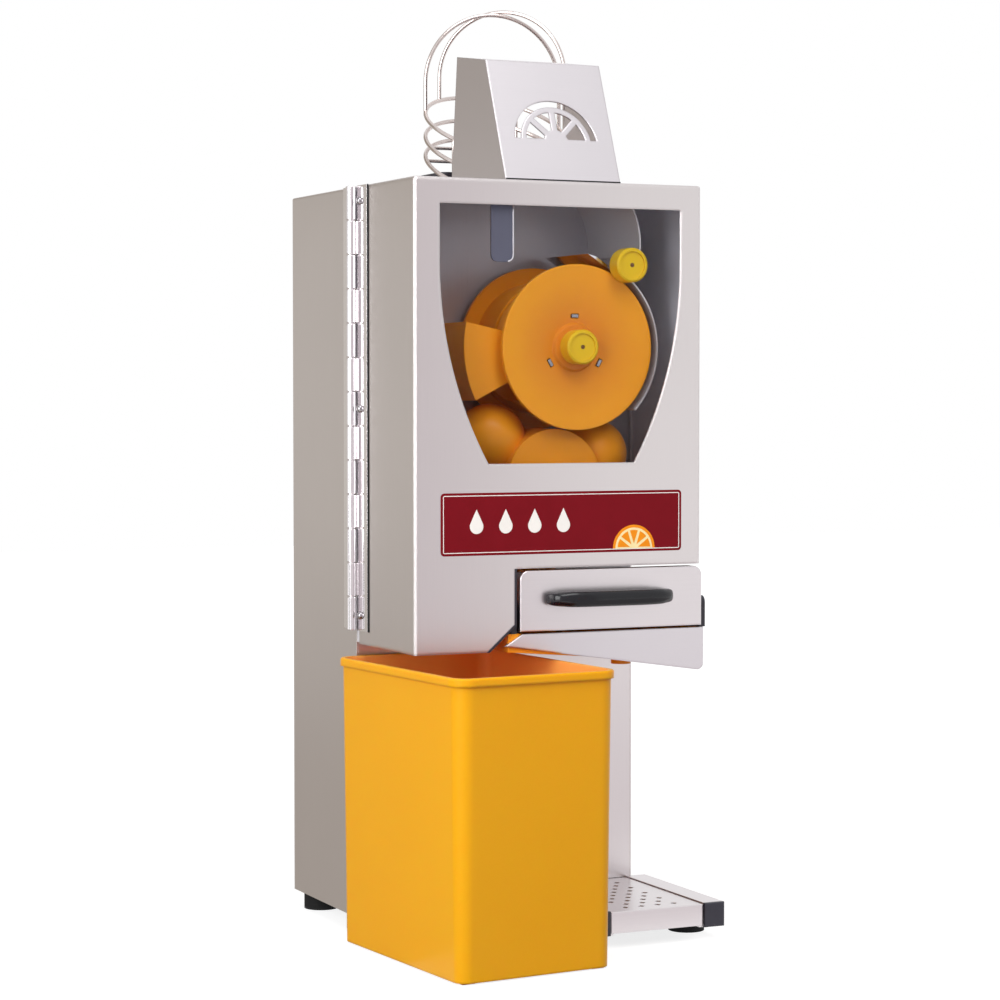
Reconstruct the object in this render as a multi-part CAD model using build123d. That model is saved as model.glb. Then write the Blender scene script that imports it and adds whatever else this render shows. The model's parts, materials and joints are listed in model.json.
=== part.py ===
from build123d import *
import os
from math import acos, atan2, cos, degrees, hypot, pi, radians, sin, tan

# Automatic orange juicer. Lengths are in millimetres.
# While it is drawn, x runs to the right, y away from the user and z up.
# x = 0 is the middle of the cabinet, y = 0 its front and z = 0 the counter.

# General clearances and sheet
sheet = 1.5
bend_radius = 2.5
running_fit = 0.05
seat_fit = 0.02
slide_gap = 0.3

# Cabinet
cabinet_width = 280.0
cabinet_depth = 162.0
cabinet_height = 662.5
foot_height = 16.0
foot_radius = 16.5
foot_inset = 20.0
front_foot_setback = 12.0
bulkhead_thickness = 3.0
louvre_count = 9
louvre_pitch = 14.0
louvre_length = 70.0
louvre_slot = 5.0
louvre_top_margin = 70.0

# Front cover and its window
cover_depth = 127.0
cover_gap = 6.0
cover_height = 412.0
cover_chin_width = 71.0
cover_chin_rise = 22.0
cover_chin_run = 25.0
feed_hole_width = 100.0
feed_hole_depth = 102.0
feed_hole_margin = 11.0
window_top_width = 235.0
window_bottom_width = 143.0
window_height = 225.0
window_straight = 51.0
window_top_margin = 22.5
window_offset = 1.5
pane_thickness = 3.0
pane_border = 11.0

# Piano hinge on the left side
hinge_length = 400.0
hinge_knuckles = 13
hinge_barrel_radius = 4.75
hinge_barrel_sides = 8
hinge_pin_radius = 2.5
hinge_leaf_width = 28.0
hinge_leaf_thickness = 1.2
hinge_knuckle_gap = 0.4
hinge_leaf_relief = 0.8
hinge_barrel_gap = 0.25

# Feed hood
hood_offset = 4.0
hood_width = 112.0
hood_base_depth = 117.0
hood_top_depth = 61.5
hood_height = 108.0
hood_roof_rise = 9.0
hood_front_inset = 3.0
hood_lean = 42.5
slice_radius = 40.0
slice_segments = 4
slice_rib = 5.5
slice_core = 9.0
slice_rind_gap = 5.0
slice_rind = 6.0
slice_rind_start = 4.0

# Wire feeder
wire_radius = 2.0
wire_sides = 6
tie_radius = 1.6
arch_wire_radius = 1.85
feeder_radius = 66.0
feeder_x = 10.8
feeder_y = 28.0
feeder_tilt = 28.4
rail_heights = [23.3, 41.2, 62.6]
rail_start = -40.0
low_rail_start = -34.0
tie_angles = [-32.0, 50.0, 95.0, 212.0]
floor_bar_angles = [10.0, 40.0]
post_spacing = 32.0
arch_left_angles = [157.0, 122.0]
arch_right_angles = [0.0, -25.0]
arch_tops = [166.5, 170.0]
feeder_base_width = 112.0
feeder_base_depth = 56.0
feeder_base_thickness = 18.0
feeder_base_corner = 8.0

# Squeezing drums
cup_axis_x = 31.0
cup_axis_z = 533.6
pitch_radius = 60.0
nip_angle = 262.3
cup_count = 3
cup_radius = 36.0
ball_radius = 32.0
ball_hub_radius = 46.0
shaft_radius = 8.0
drum_length = 80.0
drum_back_gap = 14.0
flange_radius = 74.0
flange_thickness = 4.0
collar_radius = 18.0
collar_gap = 0.4
groove_width = 6.0
groove_floor = 37.0
ball_hub_inset = 4.0
dish_depth = 6.0
dish_thickness = 3.0
dish_lip = 1.0
dish_hub_radius = 20.0
dish_hub_height = 5.5
dish_slot_count = 3
dish_slot_radius = 28.0
dish_slot_length = 8.0
dish_slot_width = 4.0
ball_nut_radius = 13.0
ball_nut_length = 9.0

# Locking knobs
knob_radius = 15.5
knob_length = 16.0
knob_face_radius = 12.0
knob_face_depth = 1.6
knob_socket = 9.0
knob_chamfer = 1.5

# Drive
gear_module = 4.0
pinion_teeth = 14
gear_width = 14.0
gear_front = 10.0
tooth_backlash = 0.5
pressure_angle = 20.0
pinion_angle = 110.0
pinion_shaft_radius = 7.0
bush_radius = 13.0
bush_flange_radius = 16.0
bush_flange = 3.0
bearing_plate_front = 34.0
bearing_plate_thickness = 6.0
bearing_plate_margin = 35.0
spacer_radius = 7.0
spacer_inset = 10.0
gearbox_size = 78.0
gearbox_length = 42.0
motor_radius = 37.0
motor_length = 62.0
motor_cap_length = 10.0
motor_cap_step = 5.0
shaft_tail = 4.0
pinion_tail = 8.0
pinion_hole_gap = 4.0
bush_tail = 3.0

# Guide band, knife, ejector and gate
band_radius = 80.0
band_low_angle = -44.0
band_high_angle = 48.0
band_width = 103.5
band_bulge = 9.0
band_top_drop = 11.0
band_top_inset = 3.0
stud_x = 77.5
stud_z = 607.0
stud_radius = 5.0
stud_flange_radius = 9.0
stud_flange = 4.0
lug_radius = 10.0
lug_half = 6.0
knife_sleeve_radius = 9.0
knife_length = 34.0
knife_thickness = 2.5
knife_bevel = 8.0
knife_end_gap = 6.0
ejector_gap = 3.5
ejector_outer_radius = 105.0
ejector_low_angle = 207.0
ejector_high_angle = 168.0
ejector_flange_gap = 4.0
finger_thickness = 4.0
finger_tip_gap = 3.0
finger_span = 12.0
gate_width = 22.0
gate_left = -55.0
gate_bottom = 608.0
gate_depth = 27.0
gate_flange = 20.0
gate_corner = 6.0

# Filter drawer, rails, tank and spout
drawer_left = -40.0
drawer_width = 181.0
drawer_bottom = 283.5
drawer_height = 53.5
drawer_proud = 1.5
drawer_return = 12.5
drawer_corner = 8.0
drawer_side_gap = 3.0
drawer_top_gap = 2.0
tray_height = 27.0
tray_back_gap = 8.0
tray_floor_border = 8.0
filter_thickness = 1.0
filter_columns = 5
filter_rows = 6
filter_slot = 24.0
filter_slot_width = 4.0
handle_length = 123.0
handle_height = 14.0
handle_depth = 24.0
handle_bar = 11.5
handle_foot = 16.0
handle_offset_x = -4.5
handle_offset_z = 1.75
handle_round = 5.0
rail_thickness = 5.5
rail_height = 28.0
rail_ledge = 7.0
rail_gap = 0.5
rail_corner = 6.0
tank_left = -50.0
tank_right = 144.0
tank_drop = 1.9
tank_left_depth = 16.0
tank_right_depth = 32.0
tank_wall = 2.5
tank_rim = 9.0
tank_front_gap = 3.0
front_panel_left = -54.4
front_panel_top_left = -37.0
front_panel_left_drop = 10.6
front_panel_right_drop = 39.6
front_panel_corner = 6.0
spout_x = 83.0
spout_y = -88.0
spout_radius = 9.0
spout_bore = 6.5
spout_drop = 34.6

# Base tubes and drip tray
tube_width = 20.0
tube_height = 22.0
tube_wall = 1.5
tube_bottom = 12.0
tube_length = 150.0
left_tube_x = 20.0
right_tube_x = 135.0
tube_ledge = 4.0
tube_ledge_thickness = 2.0
tube_cap_length = 4.0
tube_cap_plug = 12.0
tube_cap_round = 1.5
tube_foot_setback = 50.0
tray_side_gap = 1.0
tray_end_gap = 2.0
grid_drop = 1.0
grid_thickness = 1.5
grid_apron_drop = 19.5
grid_hole_radius = 3.4
grid_hole_sides = 4
grid_pitch = 16.5
grid_row_pitch = 14.0
grid_border = 14.0
pan_wall = 1.2

# Waste bin
bin_width = 155.0
bin_length = 223.0
bin_height = 256.5
bin_draft = 3.0
bin_wall = 2.5
bin_corner = 14.0
bin_lip = 2.5
bin_lip_height = 7.0
bin_pad = 1.5
bin_pad_radius = 6.0
bin_yaw = 5.0
bin_x = -77.7
bin_back_gap = 0.5

# Electrics
switch_y = 100.0
switch_z = 520.0
switch_width = 21.0
switch_height = 29.0
switch_frame = 3.5
switch_depth = 18.0
switch_wall = 2.0
switch_rise = 2.0
rocker_tilt = 8.0
rocker_gap = 0.6
inlet_x = 90.0
inlet_z = 90.0
inlet_width = 28.0
inlet_height = 22.0
inlet_depth = 24.0
inlet_flange = 5.0
inlet_flange_thickness = 2.0
inlet_wall = 2.5
magnet_size = 12.0
magnet_height = 30.0
magnet_z = 615.0
sensor_depth = 6.0
control_width = 110.0
control_depth = 46.0
control_height = 120.0
control_x = -60.0

# Places that follow from the sizes above
half_width = cabinet_width / 2
cabinet_top = foot_height + cabinet_height
cover_back = -cover_gap
cover_front = cover_back - cover_depth
cover_bottom = cabinet_top - cover_height
window_top = cabinet_top - window_top_margin
hinge_x = -half_width - hinge_barrel_radius - hinge_barrel_gap
hinge_y = 0.0
hinge_bottom = cabinet_top - hinge_length
drum_back = -drum_back_gap
drum_front = drum_back - drum_length
drum_middle = (drum_front + drum_back) / 2
dish_face = drum_front - dish_hub_height
dish_rim = drum_front - dish_depth - dish_thickness - dish_lip
ball_axis_x = cup_axis_x + 2 * pitch_radius * cos(radians(nip_angle))
ball_axis_z = cup_axis_z + 2 * pitch_radius * sin(radians(nip_angle))
gear_teeth = round(2 * pitch_radius / gear_module)
pinion_distance = gear_module * (gear_teeth + pinion_teeth) / 2
pinion_x = cup_axis_x + pinion_distance * cos(radians(pinion_angle))
pinion_z = cup_axis_z + pinion_distance * sin(radians(pinion_angle))
bearing_plate_back = bearing_plate_front + bearing_plate_thickness
drawer_right = drawer_left + drawer_width
drawer_top = drawer_bottom + drawer_height
tank_top = drawer_bottom - tank_drop
spout_bottom = tank_top - spout_drop
drawer_face = cover_front - drawer_proud
tube_top = tube_bottom + tube_height
tray_left = left_tube_x + tube_width + tray_side_gap
tray_right = right_tube_x - tray_side_gap
grid_top = tube_top - grid_drop
bin_half_x = bin_width / 2 - bin_corner
bin_half_y = bin_length / 2 - bin_corner
bin_reach = bin_half_x * sin(radians(bin_yaw)) + bin_half_y * cos(radians(bin_yaw)) + bin_corner + bin_lip
bin_y = -bin_back_gap - bin_reach
cup_angles = [nip_angle + 60 + 360 / cup_count * i for i in range(cup_count)]
ball_angles = [angle - 180 + 2 * (nip_angle + 180 - angle) for angle in cup_angles]


def block(x0, x1, y0, y1, z0, z1):
    """Box between two corners."""
    return Pos((x0 + x1) / 2, (y0 + y1) / 2, (z0 + z1) / 2) * Box(x1 - x0, y1 - y0, z1 - z0)


def upright(y):
    """Plane that faces the user at depth y, with x and z as its own axes."""
    return Plane(origin=(0, y, 0), x_dir=(1, 0, 0), z_dir=(0, -1, 0))


def slab(sketch, y_front, y_back):
    """Sketch in x and z, as thick as the two depths say."""
    return extrude(upright(y_back) * sketch, amount=y_back - y_front)


def rod(x, z, radius, y_front, y_back):
    """Round bar along y."""
    return slab(Pos(x, z) * Circle(radius), y_front, y_back)


def post(x, y, radius, z0, z1):
    """Round bar along z."""
    return Pos(x, y, (z0 + z1) / 2) * Cylinder(radius, z1 - z0)


def turned(points, x, z):
    """Body turned about an axis along y, from points of radius and depth."""
    return Pos(x, 0, z) * revolve(make_face(Polyline(*points, close=True)), axis=Axis.Y)


def polygon(points):
    """Face through the points."""
    return make_face(Polyline(*points, close=True))


def around(x, z, radius, angle):
    """Point on a circle in x and z."""
    return (x + radius * cos(radians(angle)), z + radius * sin(radians(angle)))


def sector(x, z, inner, outer, start, end):
    """Part of a ring in x and z."""
    low = CenterArc((x, z), inner, start, end - start)
    high = CenterArc((x, z), outer, start, end - start)
    return make_face([low, Line(low @ 1, high @ 1), high, Line(high @ 0, low @ 0)])


def strut(start, end, radius):
    """Straight wire between two points."""
    axis = Vector(*end) - Vector(*start)
    return extrude(Plane(origin=start, z_dir=axis.normalized()) * wire_section(radius), amount=axis.length)


def wire_section(radius):
    """Section of a wire, drawn with few sides because there is so much of it."""
    return RegularPolygon(radius, wire_sides)


def cabinet_shell():
    """Side walls and top, bent from one sheet."""
    outer = block(-half_width, half_width, 0, cabinet_depth, foot_height, cabinet_top)
    corners = outer.edges().filter_by(Axis.Y).group_by(Axis.Z)[-1]
    outer = fillet(corners, bend_radius)
    inner = block(-half_width + sheet, half_width - sheet, -1, cabinet_depth + 1,
                  foot_height - 1, cabinet_top - sheet)
    hole = block(half_width - 5, half_width + 5, switch_y - switch_width / 2, switch_y + switch_width / 2,
                 switch_z - switch_height / 2, switch_z + switch_height / 2)
    return outer - inner - hole


def wall_panel(y_front, y_back):
    """Panel that closes the cabinet between its sides, base and top."""
    return block(-half_width + sheet, half_width - sheet, y_front, y_back,
                 foot_height + sheet, cabinet_top - sheet)


def back_panel():
    """Back panel with two columns of louvres and the hole for the inlet."""
    panel = wall_panel(cabinet_depth - sheet, cabinet_depth)
    first = cabinet_top - louvre_top_margin
    slots = Sketch() + [
        Pos(side * cabinet_width / 4, first - row * louvre_pitch) * Rectangle(louvre_length, louvre_slot)
        for side in (-1, 1)
        for row in range(louvre_count)
    ]
    slots += Pos(inlet_x, inlet_z) * Rectangle(inlet_width, inlet_height)
    return panel - slab(slots, cabinet_depth - 2 * sheet, cabinet_depth + sheet)


def base_plate():
    """Floor of the cabinet."""
    return block(-half_width + sheet, half_width - sheet, 0, cabinet_depth, foot_height, foot_height + sheet)


def bulkhead():
    """Front wall of the cabinet, which carries the drums."""
    panel = wall_panel(0, bulkhead_thickness)
    for x, z in ((cup_axis_x, cup_axis_z), (ball_axis_x, ball_axis_z)):
        panel -= rod(x, z, bush_radius + seat_fit, -1, bulkhead_thickness + 1)
    return panel


def foot(x, y, height):
    """Round rubber foot."""
    return post(x, y, foot_radius, 0, height)


def cabinet_feet():
    """The four feet under the cabinet."""
    xs = (-half_width + foot_inset, half_width - foot_inset)
    ys = (foot_inset + front_foot_setback, cabinet_depth - foot_inset)
    return Compound([foot(x, y, foot_height) for x in xs for y in ys])


def tube_feet():
    """The two feet under the base tubes."""
    y = -tube_length + tube_foot_setback
    xs = (left_tube_x + tube_width / 2, right_tube_x + tube_width / 2)
    return Compound([foot(x, y, tube_bottom) for x in xs])


def base_tube(x, ledge_side):
    """Square tube that runs forward from the cabinet, with a ledge for the tray."""
    outer = block(x, x + tube_width, -tube_length, 0, tube_bottom, tube_top)
    inner = block(x + tube_wall, x + tube_width - tube_wall, -tube_length - 1, 1,
                  tube_bottom + tube_wall, tube_top - tube_wall)
    edge = x + tube_width if ledge_side > 0 else x
    ledge = block(min(edge, edge + ledge_side * tube_ledge), max(edge, edge + ledge_side * tube_ledge),
                  -tube_length, 0, tube_bottom, tube_bottom + tube_ledge_thickness)
    return outer - inner + ledge


def tube_cap(x):
    """Plastic plug in the end of a base tube."""
    head = block(x, x + tube_width, -tube_length - tube_cap_length, -tube_length, tube_bottom, tube_top)
    head = fillet(head.edges().group_by(Axis.Y)[0], tube_cap_round)
    inset = tube_wall + seat_fit
    plug = block(x + inset, x + tube_width - inset, -tube_length, -tube_length + tube_cap_plug,
                 tube_bottom + inset, tube_top - inset)
    return head + plug


def hinge_leaf(side, first):
    """Leaf on one side of the barrel, with every second knuckle. side is 1 on the cabinet."""
    pitch = hinge_length / hinge_knuckles
    x0 = -half_width - hinge_leaf_thickness
    near = hinge_y + side * (hinge_barrel_radius + hinge_leaf_relief)
    far = hinge_y + side * hinge_leaf_width
    leaf = block(x0, -half_width, min(near, far), max(near, far), hinge_bottom, cabinet_top)
    eye = RegularPolygon(hinge_pin_radius + running_fit, hinge_barrel_sides, major_radius=False)
    bore = Pos(hinge_x, hinge_y, hinge_bottom - 1) * extrude(eye, amount=hinge_length + 2)
    for i in range(first, hinge_knuckles, 2):
        z0 = hinge_bottom + i * pitch + hinge_knuckle_gap / 2
        z1 = z0 + pitch - hinge_knuckle_gap
        barrel = RegularPolygon(hinge_barrel_radius, hinge_barrel_sides)
        knuckle = Pos(hinge_x, hinge_y, z0) * extrude(barrel, amount=z1 - z0)
        tab = block(x0, -half_width, min(hinge_y, near), max(hinge_y, near), z0, z1)
        leaf += knuckle + tab
    return leaf - bore


def hinge_pin():
    """Pin through all the knuckles."""
    return post(hinge_x, hinge_y, hinge_pin_radius, hinge_bottom, cabinet_top)


def window_outline():
    """Window: upright sides that curve in towards a narrower sill."""
    top = window_top_width / 2
    low = window_bottom_width / 2
    knee = window_top - window_straight
    sill = window_top - window_height
    narrowing = top - low
    drop = knee - sill
    radius = (narrowing ** 2 + drop ** 2) / (2 * narrowing)
    halfway = asin_degrees(drop / radius) / 2
    bend_x = top - radius + radius * cos(radians(halfway))
    bend_z = knee - radius * sin(radians(halfway))
    edges = [
        Line((-top, window_top), (top, window_top)),
        Line((top, window_top), (top, knee)),
        ThreePointArc((top, knee), (bend_x, bend_z), (low, sill)),
        Line((low, sill), (-low, sill)),
        ThreePointArc((-low, sill), (-bend_x, bend_z), (-top, knee)),
        Line((-top, knee), (-top, window_top)),
    ]
    return Pos(window_offset, 0) * make_face(edges)


def asin_degrees(value):
    """Angle whose sine is the value."""
    return 90 - acos(value) * 180 / pi


def cover_shell():
    """Front cover: a bent box, open behind and below, cut away over the drawer."""
    outer = block(-half_width, half_width, cover_front, cover_back, cover_bottom, cabinet_top)
    bends = outer.edges().group_by(Axis.Y)[0] - outer.edges().group_by(Axis.Z)[0]
    sides = outer.edges().filter_by(Axis.Y).group_by(Axis.Z)[-1]
    outer = fillet(bends + sides, bend_radius)
    inner = block(-half_width + sheet, half_width - sheet, cover_front + sheet, cover_back + 1,
                  cover_bottom - 1, cabinet_top - sheet)
    chin = -half_width + cover_chin_width
    edge = drawer_left - drawer_side_gap
    cut_top = drawer_top + drawer_top_gap
    cut = polygon([
        (chin, cover_bottom - 5), (chin, cover_bottom),
        (chin + cover_chin_run, cover_bottom + cover_chin_rise), (edge, cover_bottom + cover_chin_rise),
        (edge, cut_top), (half_width + 5, cut_top), (half_width + 5, cover_bottom - 5),
    ])
    hole_front = cover_front + feed_hole_margin
    hole = block(hood_offset - feed_hole_width / 2, hood_offset + feed_hole_width / 2,
                 hole_front, hole_front + feed_hole_depth, cabinet_top - 5, cabinet_top + 5)
    shell = outer - inner - slab(cut, cover_front - 5, cover_back + 5) - hole
    return shell - slab(window_outline(), cover_front - 5, cover_front + 5)


def window_pane():
    """Clear pane behind the front wall of the cover."""
    front = cover_front + sheet
    half = window_top_width / 2 + pane_border
    return block(window_offset - half, window_offset + half, front, front + pane_thickness,
                 window_top - window_height - pane_border, window_top + pane_border)


def slice_cutout():
    """Half slice of citrus: segments and a rind, for the front of the hood."""
    step = 180 / slice_segments
    outer = slice_radius - slice_rind - slice_rind_gap
    rind = sector(0, 0, slice_radius - slice_rind, slice_radius, slice_rind_start, 180 - slice_rind_start)
    cut = Sketch() + rind
    for i in range(slice_segments):
        wedge = sector(0, 0, slice_core, outer + slice_rib / 2, i * step, (i + 1) * step)
        wedge = offset(wedge, amount=-slice_rib / 2)
        cut += wedge
    return cut


def feed_hood():
    """Sheet hood over the feed hole: leaning front, rising roof, open behind and below."""
    front = cover_front + hood_front_inset
    back = front + hood_base_depth
    crest = front + hood_lean
    top = cabinet_top + hood_height
    lean = hood_lean / hood_height
    rise = hood_roof_rise / hood_top_depth
    outer_points = [
        (front, cabinet_top), (crest, top),
        (crest + hood_top_depth, top + hood_roof_rise), (back, cabinet_top),
    ]
    inner_front = front + hypot(1, lean) * sheet
    inner_top = top - hypot(1, rise) * sheet
    high = (inner_top + rise * (inner_front - lean * cabinet_top - crest)) / (1 - rise * lean)
    low = cabinet_top - sheet
    beyond = back + sheet
    inner_points = [
        (inner_front + lean * (low - cabinet_top), low), (inner_front + lean * (high - cabinet_top), high),
        (beyond, inner_top + rise * (beyond - crest)), (beyond, low),
    ]
    side = Plane(origin=(hood_offset, 0, 0), x_dir=(0, 1, 0), z_dir=(1, 0, 0))
    outer = extrude(side * polygon(outer_points), amount=hood_width / 2, both=True)
    inner = extrude(side * polygon(inner_points), amount=hood_width / 2 - sheet, both=True)
    middle = (hood_offset, front + hood_lean / 2, cabinet_top + hood_height / 2)
    panel = Plane(origin=middle, x_dir=(1, 0, 0), z_dir=(0, -hood_height, hood_lean))
    cutter = extrude(panel * Pos(0, -slice_radius / 2) * slice_cutout(), amount=4 * sheet, both=True)
    return outer - inner - cutter


def gate_plate():
    """Strip that hangs inside the cover and keeps the fruit back."""
    front = cover_front + gate_depth
    top = cabinet_top - sheet
    strip = block(gate_left, gate_left + gate_width, front, front + sheet, gate_bottom, top)
    strip = fillet(strip.edges().filter_by(Axis.Y).group_by(Axis.Z)[0], gate_corner)
    flange = block(gate_left, gate_left + gate_width, front, front + gate_flange, top - sheet, top)
    return strip + flange


def feeder_point(height, angle):
    """Point on a feeder rail, which is lower in front than behind."""
    side = feeder_radius * sin(radians(angle))
    x = feeder_x + feeder_radius * cos(radians(angle))
    y = feeder_y + side * cos(radians(feeder_tilt))
    return (x, y, cabinet_top + height + side * sin(radians(feeder_tilt)))


def feeder_rail(height, start):
    """Bent wire round the feeder, open in front."""
    section = Plane.XZ * Pos(feeder_radius, 0) * wire_section(wire_radius)
    ring = Rot(0, 0, start) * revolve(section, axis=Axis.Z, revolution_arc=180 - 2 * start)
    return Pos(feeder_x, feeder_y, cabinet_top + height) * Rot(feeder_tilt, 0, 0) * ring


def feeder_arch(left_angle, right_angle, top):
    """Arch between two points of the top rail, on straight legs."""
    left = feeder_point(rail_heights[-1], left_angle)
    right = feeder_point(rail_heights[-1], right_angle)
    reach = hypot(right[0] - left[0], right[1] - left[1]) / 2
    spring = cabinet_top + top - reach
    turn = degrees(atan2(right[1] - left[1], right[0] - left[0]))
    section = Pos(reach, 0, 0) * wire_section(arch_wire_radius)
    bow = revolve(section, axis=Axis((0, 0, 0), (0, -1, 0)), revolution_arc=180)
    legs = [
        strut((side * reach, 0, foot[2] - spring), (side * reach, 0, 0), arch_wire_radius)
        for side, foot in ((-1, left), (1, right))
    ]
    middle = Pos((left[0] + right[0]) / 2, (left[1] + right[1]) / 2, spring)
    return middle * Rot(0, 0, turn) * (bow + legs)


def wire_feeder():
    """Welded wire feeder: tilted rails, uprights, floor bars on posts, and two arches."""
    low, middle, high = rail_heights
    frame = feeder_rail(high, rail_start) + feeder_rail(middle, rail_start) + feeder_rail(low, low_rail_start)
    for angle in tie_angles:
        frame += strut(feeder_point(low, angle), feeder_point(high, angle), tie_radius)
    base_top = cabinet_top + feeder_base_thickness
    for angle in floor_bar_angles:
        end = feeder_point(low, angle)
        frame += strut(feeder_point(low, 180 - angle), end, tie_radius)
        for x in (feeder_x - post_spacing / 2, feeder_x + post_spacing / 2):
            frame += strut((x, end[1], base_top), (x, end[1], end[2]), tie_radius)
    for left_angle, right_angle, top in zip(arch_left_angles, arch_right_angles, arch_tops):
        frame += feeder_arch(left_angle, right_angle, top)
    return frame


def feeder_base():
    """Moulded foot on the cabinet that carries the feeder's posts."""
    post_ys = [feeder_point(0, angle)[1] for angle in floor_bar_angles]
    plate = RectangleRounded(feeder_base_width, feeder_base_depth, feeder_base_corner)
    place = Pos(feeder_x, sum(post_ys) / len(post_ys), cabinet_top)
    return place * extrude(plate, amount=feeder_base_thickness)


def cup_drum():
    """Drum with hemispherical cups, a middle groove for the ejector, and a rear flange."""
    body = rod(cup_axis_x, cup_axis_z, pitch_radius, drum_front, drum_back)
    for angle in cup_angles:
        x, z = around(cup_axis_x, cup_axis_z, pitch_radius, angle)
        body -= Pos(x, drum_middle, z) * Sphere(cup_radius)
    groove_front = drum_middle - groove_width / 2
    groove_back = drum_middle + groove_width / 2
    body -= rod(cup_axis_x, cup_axis_z, pitch_radius + 1, groove_front, groove_back) - rod(
        cup_axis_x, cup_axis_z, groove_floor, groove_front - 1, groove_back + 1)
    body += rod(cup_axis_x, cup_axis_z, flange_radius, drum_back, drum_back + flange_thickness)
    body += rod(cup_axis_x, cup_axis_z, collar_radius, drum_back, -bush_flange - collar_gap)
    return body - rod(cup_axis_x, cup_axis_z, shaft_radius + seat_fit, drum_front - 1, 1)


def front_dish():
    """Dished disc in front of the cup drum, with slots round its hub."""
    bore = shaft_radius + seat_fit
    slope_start = dish_hub_radius + 2
    rim = flange_radius
    points = [
        (bore, drum_front), (slope_start, drum_front), (rim, drum_front - dish_depth), (rim, dish_rim),
        (rim - 2, dish_rim), (slope_start, drum_front - dish_thickness), (dish_hub_radius, dish_face),
        (bore, dish_face),
    ]
    dish = turned(points, cup_axis_x, cup_axis_z)
    for i in range(dish_slot_count):
        angle = 90 + 360 / dish_slot_count * i
        place = around(cup_axis_x, cup_axis_z, dish_slot_radius, angle)
        slot = Pos(*place) * Rot(0, 0, angle + 90) * Rectangle(dish_slot_length, dish_slot_width)
        dish -= slab(slot, dish_rim - 1, drum_front + 1)
    return dish


def drum_shaft(x, z, y_front):
    """Shaft of a drum, from its knob or nut back to the bearing plate."""
    return rod(x, z, shaft_radius, y_front, bearing_plate_back + shaft_tail)


def tooth_half_angle(teeth, radius):
    """Half the angle that a tooth fills at a radius, less its share of the backlash."""
    pitch = gear_module * teeth / 2
    base = pitch * cos(radians(pressure_angle))
    at_pitch = pi / (2 * teeth) - tooth_backlash / (4 * pitch)
    slope = acos(min(1.0, base / max(radius, base)))
    return at_pitch + tan(radians(pressure_angle)) - radians(pressure_angle) - tan(slope) + slope


def spur_gear(x, z, teeth, phase):
    """Gear with involute teeth. phase is the direction of one tooth in degrees."""
    pitch = gear_module * teeth / 2
    root = pitch - 1.25 * gear_module
    tip = pitch + gear_module
    radii = [root, pitch, tip]
    points = []
    for i in range(teeth):
        middle = radians(phase) + 2 * pi * i / teeth
        flank = [(r, tooth_half_angle(teeth, r)) for r in radii]
        points += [(x + r * cos(middle - a), z + r * sin(middle - a)) for r, a in flank]
        points += [(x + r * cos(middle + a), z + r * sin(middle + a)) for r, a in reversed(flank)]
    return slab(polygon(points), gear_front, gear_front + gear_width)


def drum_gear(x, z, phase):
    """Gear on a drum shaft."""
    gear = spur_gear(x, z, gear_teeth, phase)
    return gear - rod(x, z, shaft_radius + seat_fit, 0, bearing_plate_front)


def drive_pinion():
    """Pinion on the output shaft of the gearbox."""
    step = 360 / gear_teeth
    tooth = (pinion_angle - nip_angle) / step
    offset = (tooth - round(tooth)) * step
    gap = pinion_angle + 180 + offset * gear_teeth / pinion_teeth
    pinion = spur_gear(pinion_x, pinion_z, pinion_teeth, gap + 180 / pinion_teeth)
    shaft_end = bearing_plate_back + pinion_tail
    return pinion + rod(pinion_x, pinion_z, pinion_shaft_radius, gear_front + gear_width, shaft_end)


def front_bush(x, z):
    """Flanged bush in the bulkhead."""
    back = bulkhead_thickness + bush_tail
    bush = rod(x, z, bush_radius, 0, back) + rod(x, z, bush_flange_radius, -bush_flange, 0)
    return bush - rod(x, z, shaft_radius + running_fit, -bush_flange - 1, back + 1)


def rear_bush(x, z):
    """Plain bush in the bearing plate."""
    bush = rod(x, z, bush_radius, bearing_plate_front, bearing_plate_back)
    return bush - rod(x, z, shaft_radius + running_fit, bearing_plate_front - 3, bearing_plate_back + 1)


def plate_box():
    """Left, right, bottom and top of the bearing plate."""
    tip = pitch_radius + gear_module
    left = min(cup_axis_x, ball_axis_x) - tip - bearing_plate_margin / 2
    right = max(cup_axis_x, ball_axis_x) + tip
    return left, right, ball_axis_z - bearing_plate_margin - spacer_inset, pinion_z + gearbox_size / 2 + 4


def bearing_plate():
    """Plate behind the gears that carries the rear bushes and the gearbox."""
    left, right, bottom, top = plate_box()
    plate = block(left, right, bearing_plate_front, bearing_plate_back, bottom, top)
    for x, z in ((cup_axis_x, cup_axis_z), (ball_axis_x, ball_axis_z)):
        plate -= rod(x, z, bush_radius + seat_fit, bearing_plate_front - 1, bearing_plate_back + 1)
    hole = pinion_shaft_radius + pinion_hole_gap
    return plate - rod(pinion_x, pinion_z, hole, bearing_plate_front - 1, bearing_plate_back + 1)


def plate_spacers():
    """Four hexagonal spacers between bulkhead and bearing plate."""
    left, right, bottom, top = plate_box()
    xs = (left + spacer_inset, right - spacer_inset)
    zs = (bottom + spacer_inset, top - spacer_inset)
    return Compound([
        slab(Pos(x, z) * RegularPolygon(spacer_radius, 6), bulkhead_thickness, bearing_plate_front)
        for x in xs
        for z in zs
    ])


def gearbox():
    """Gearbox on the back of the bearing plate."""
    half = gearbox_size / 2
    back = bearing_plate_back + gearbox_length
    box = block(pinion_x - half, pinion_x + half, bearing_plate_back, back, pinion_z - half, pinion_z + half)
    box = fillet(box.edges().filter_by(Axis.Y), 8)
    return box - rod(pinion_x, pinion_z, pinion_shaft_radius + running_fit, bearing_plate_back - 1,
                     bearing_plate_back + pinion_tail + 4)


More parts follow.
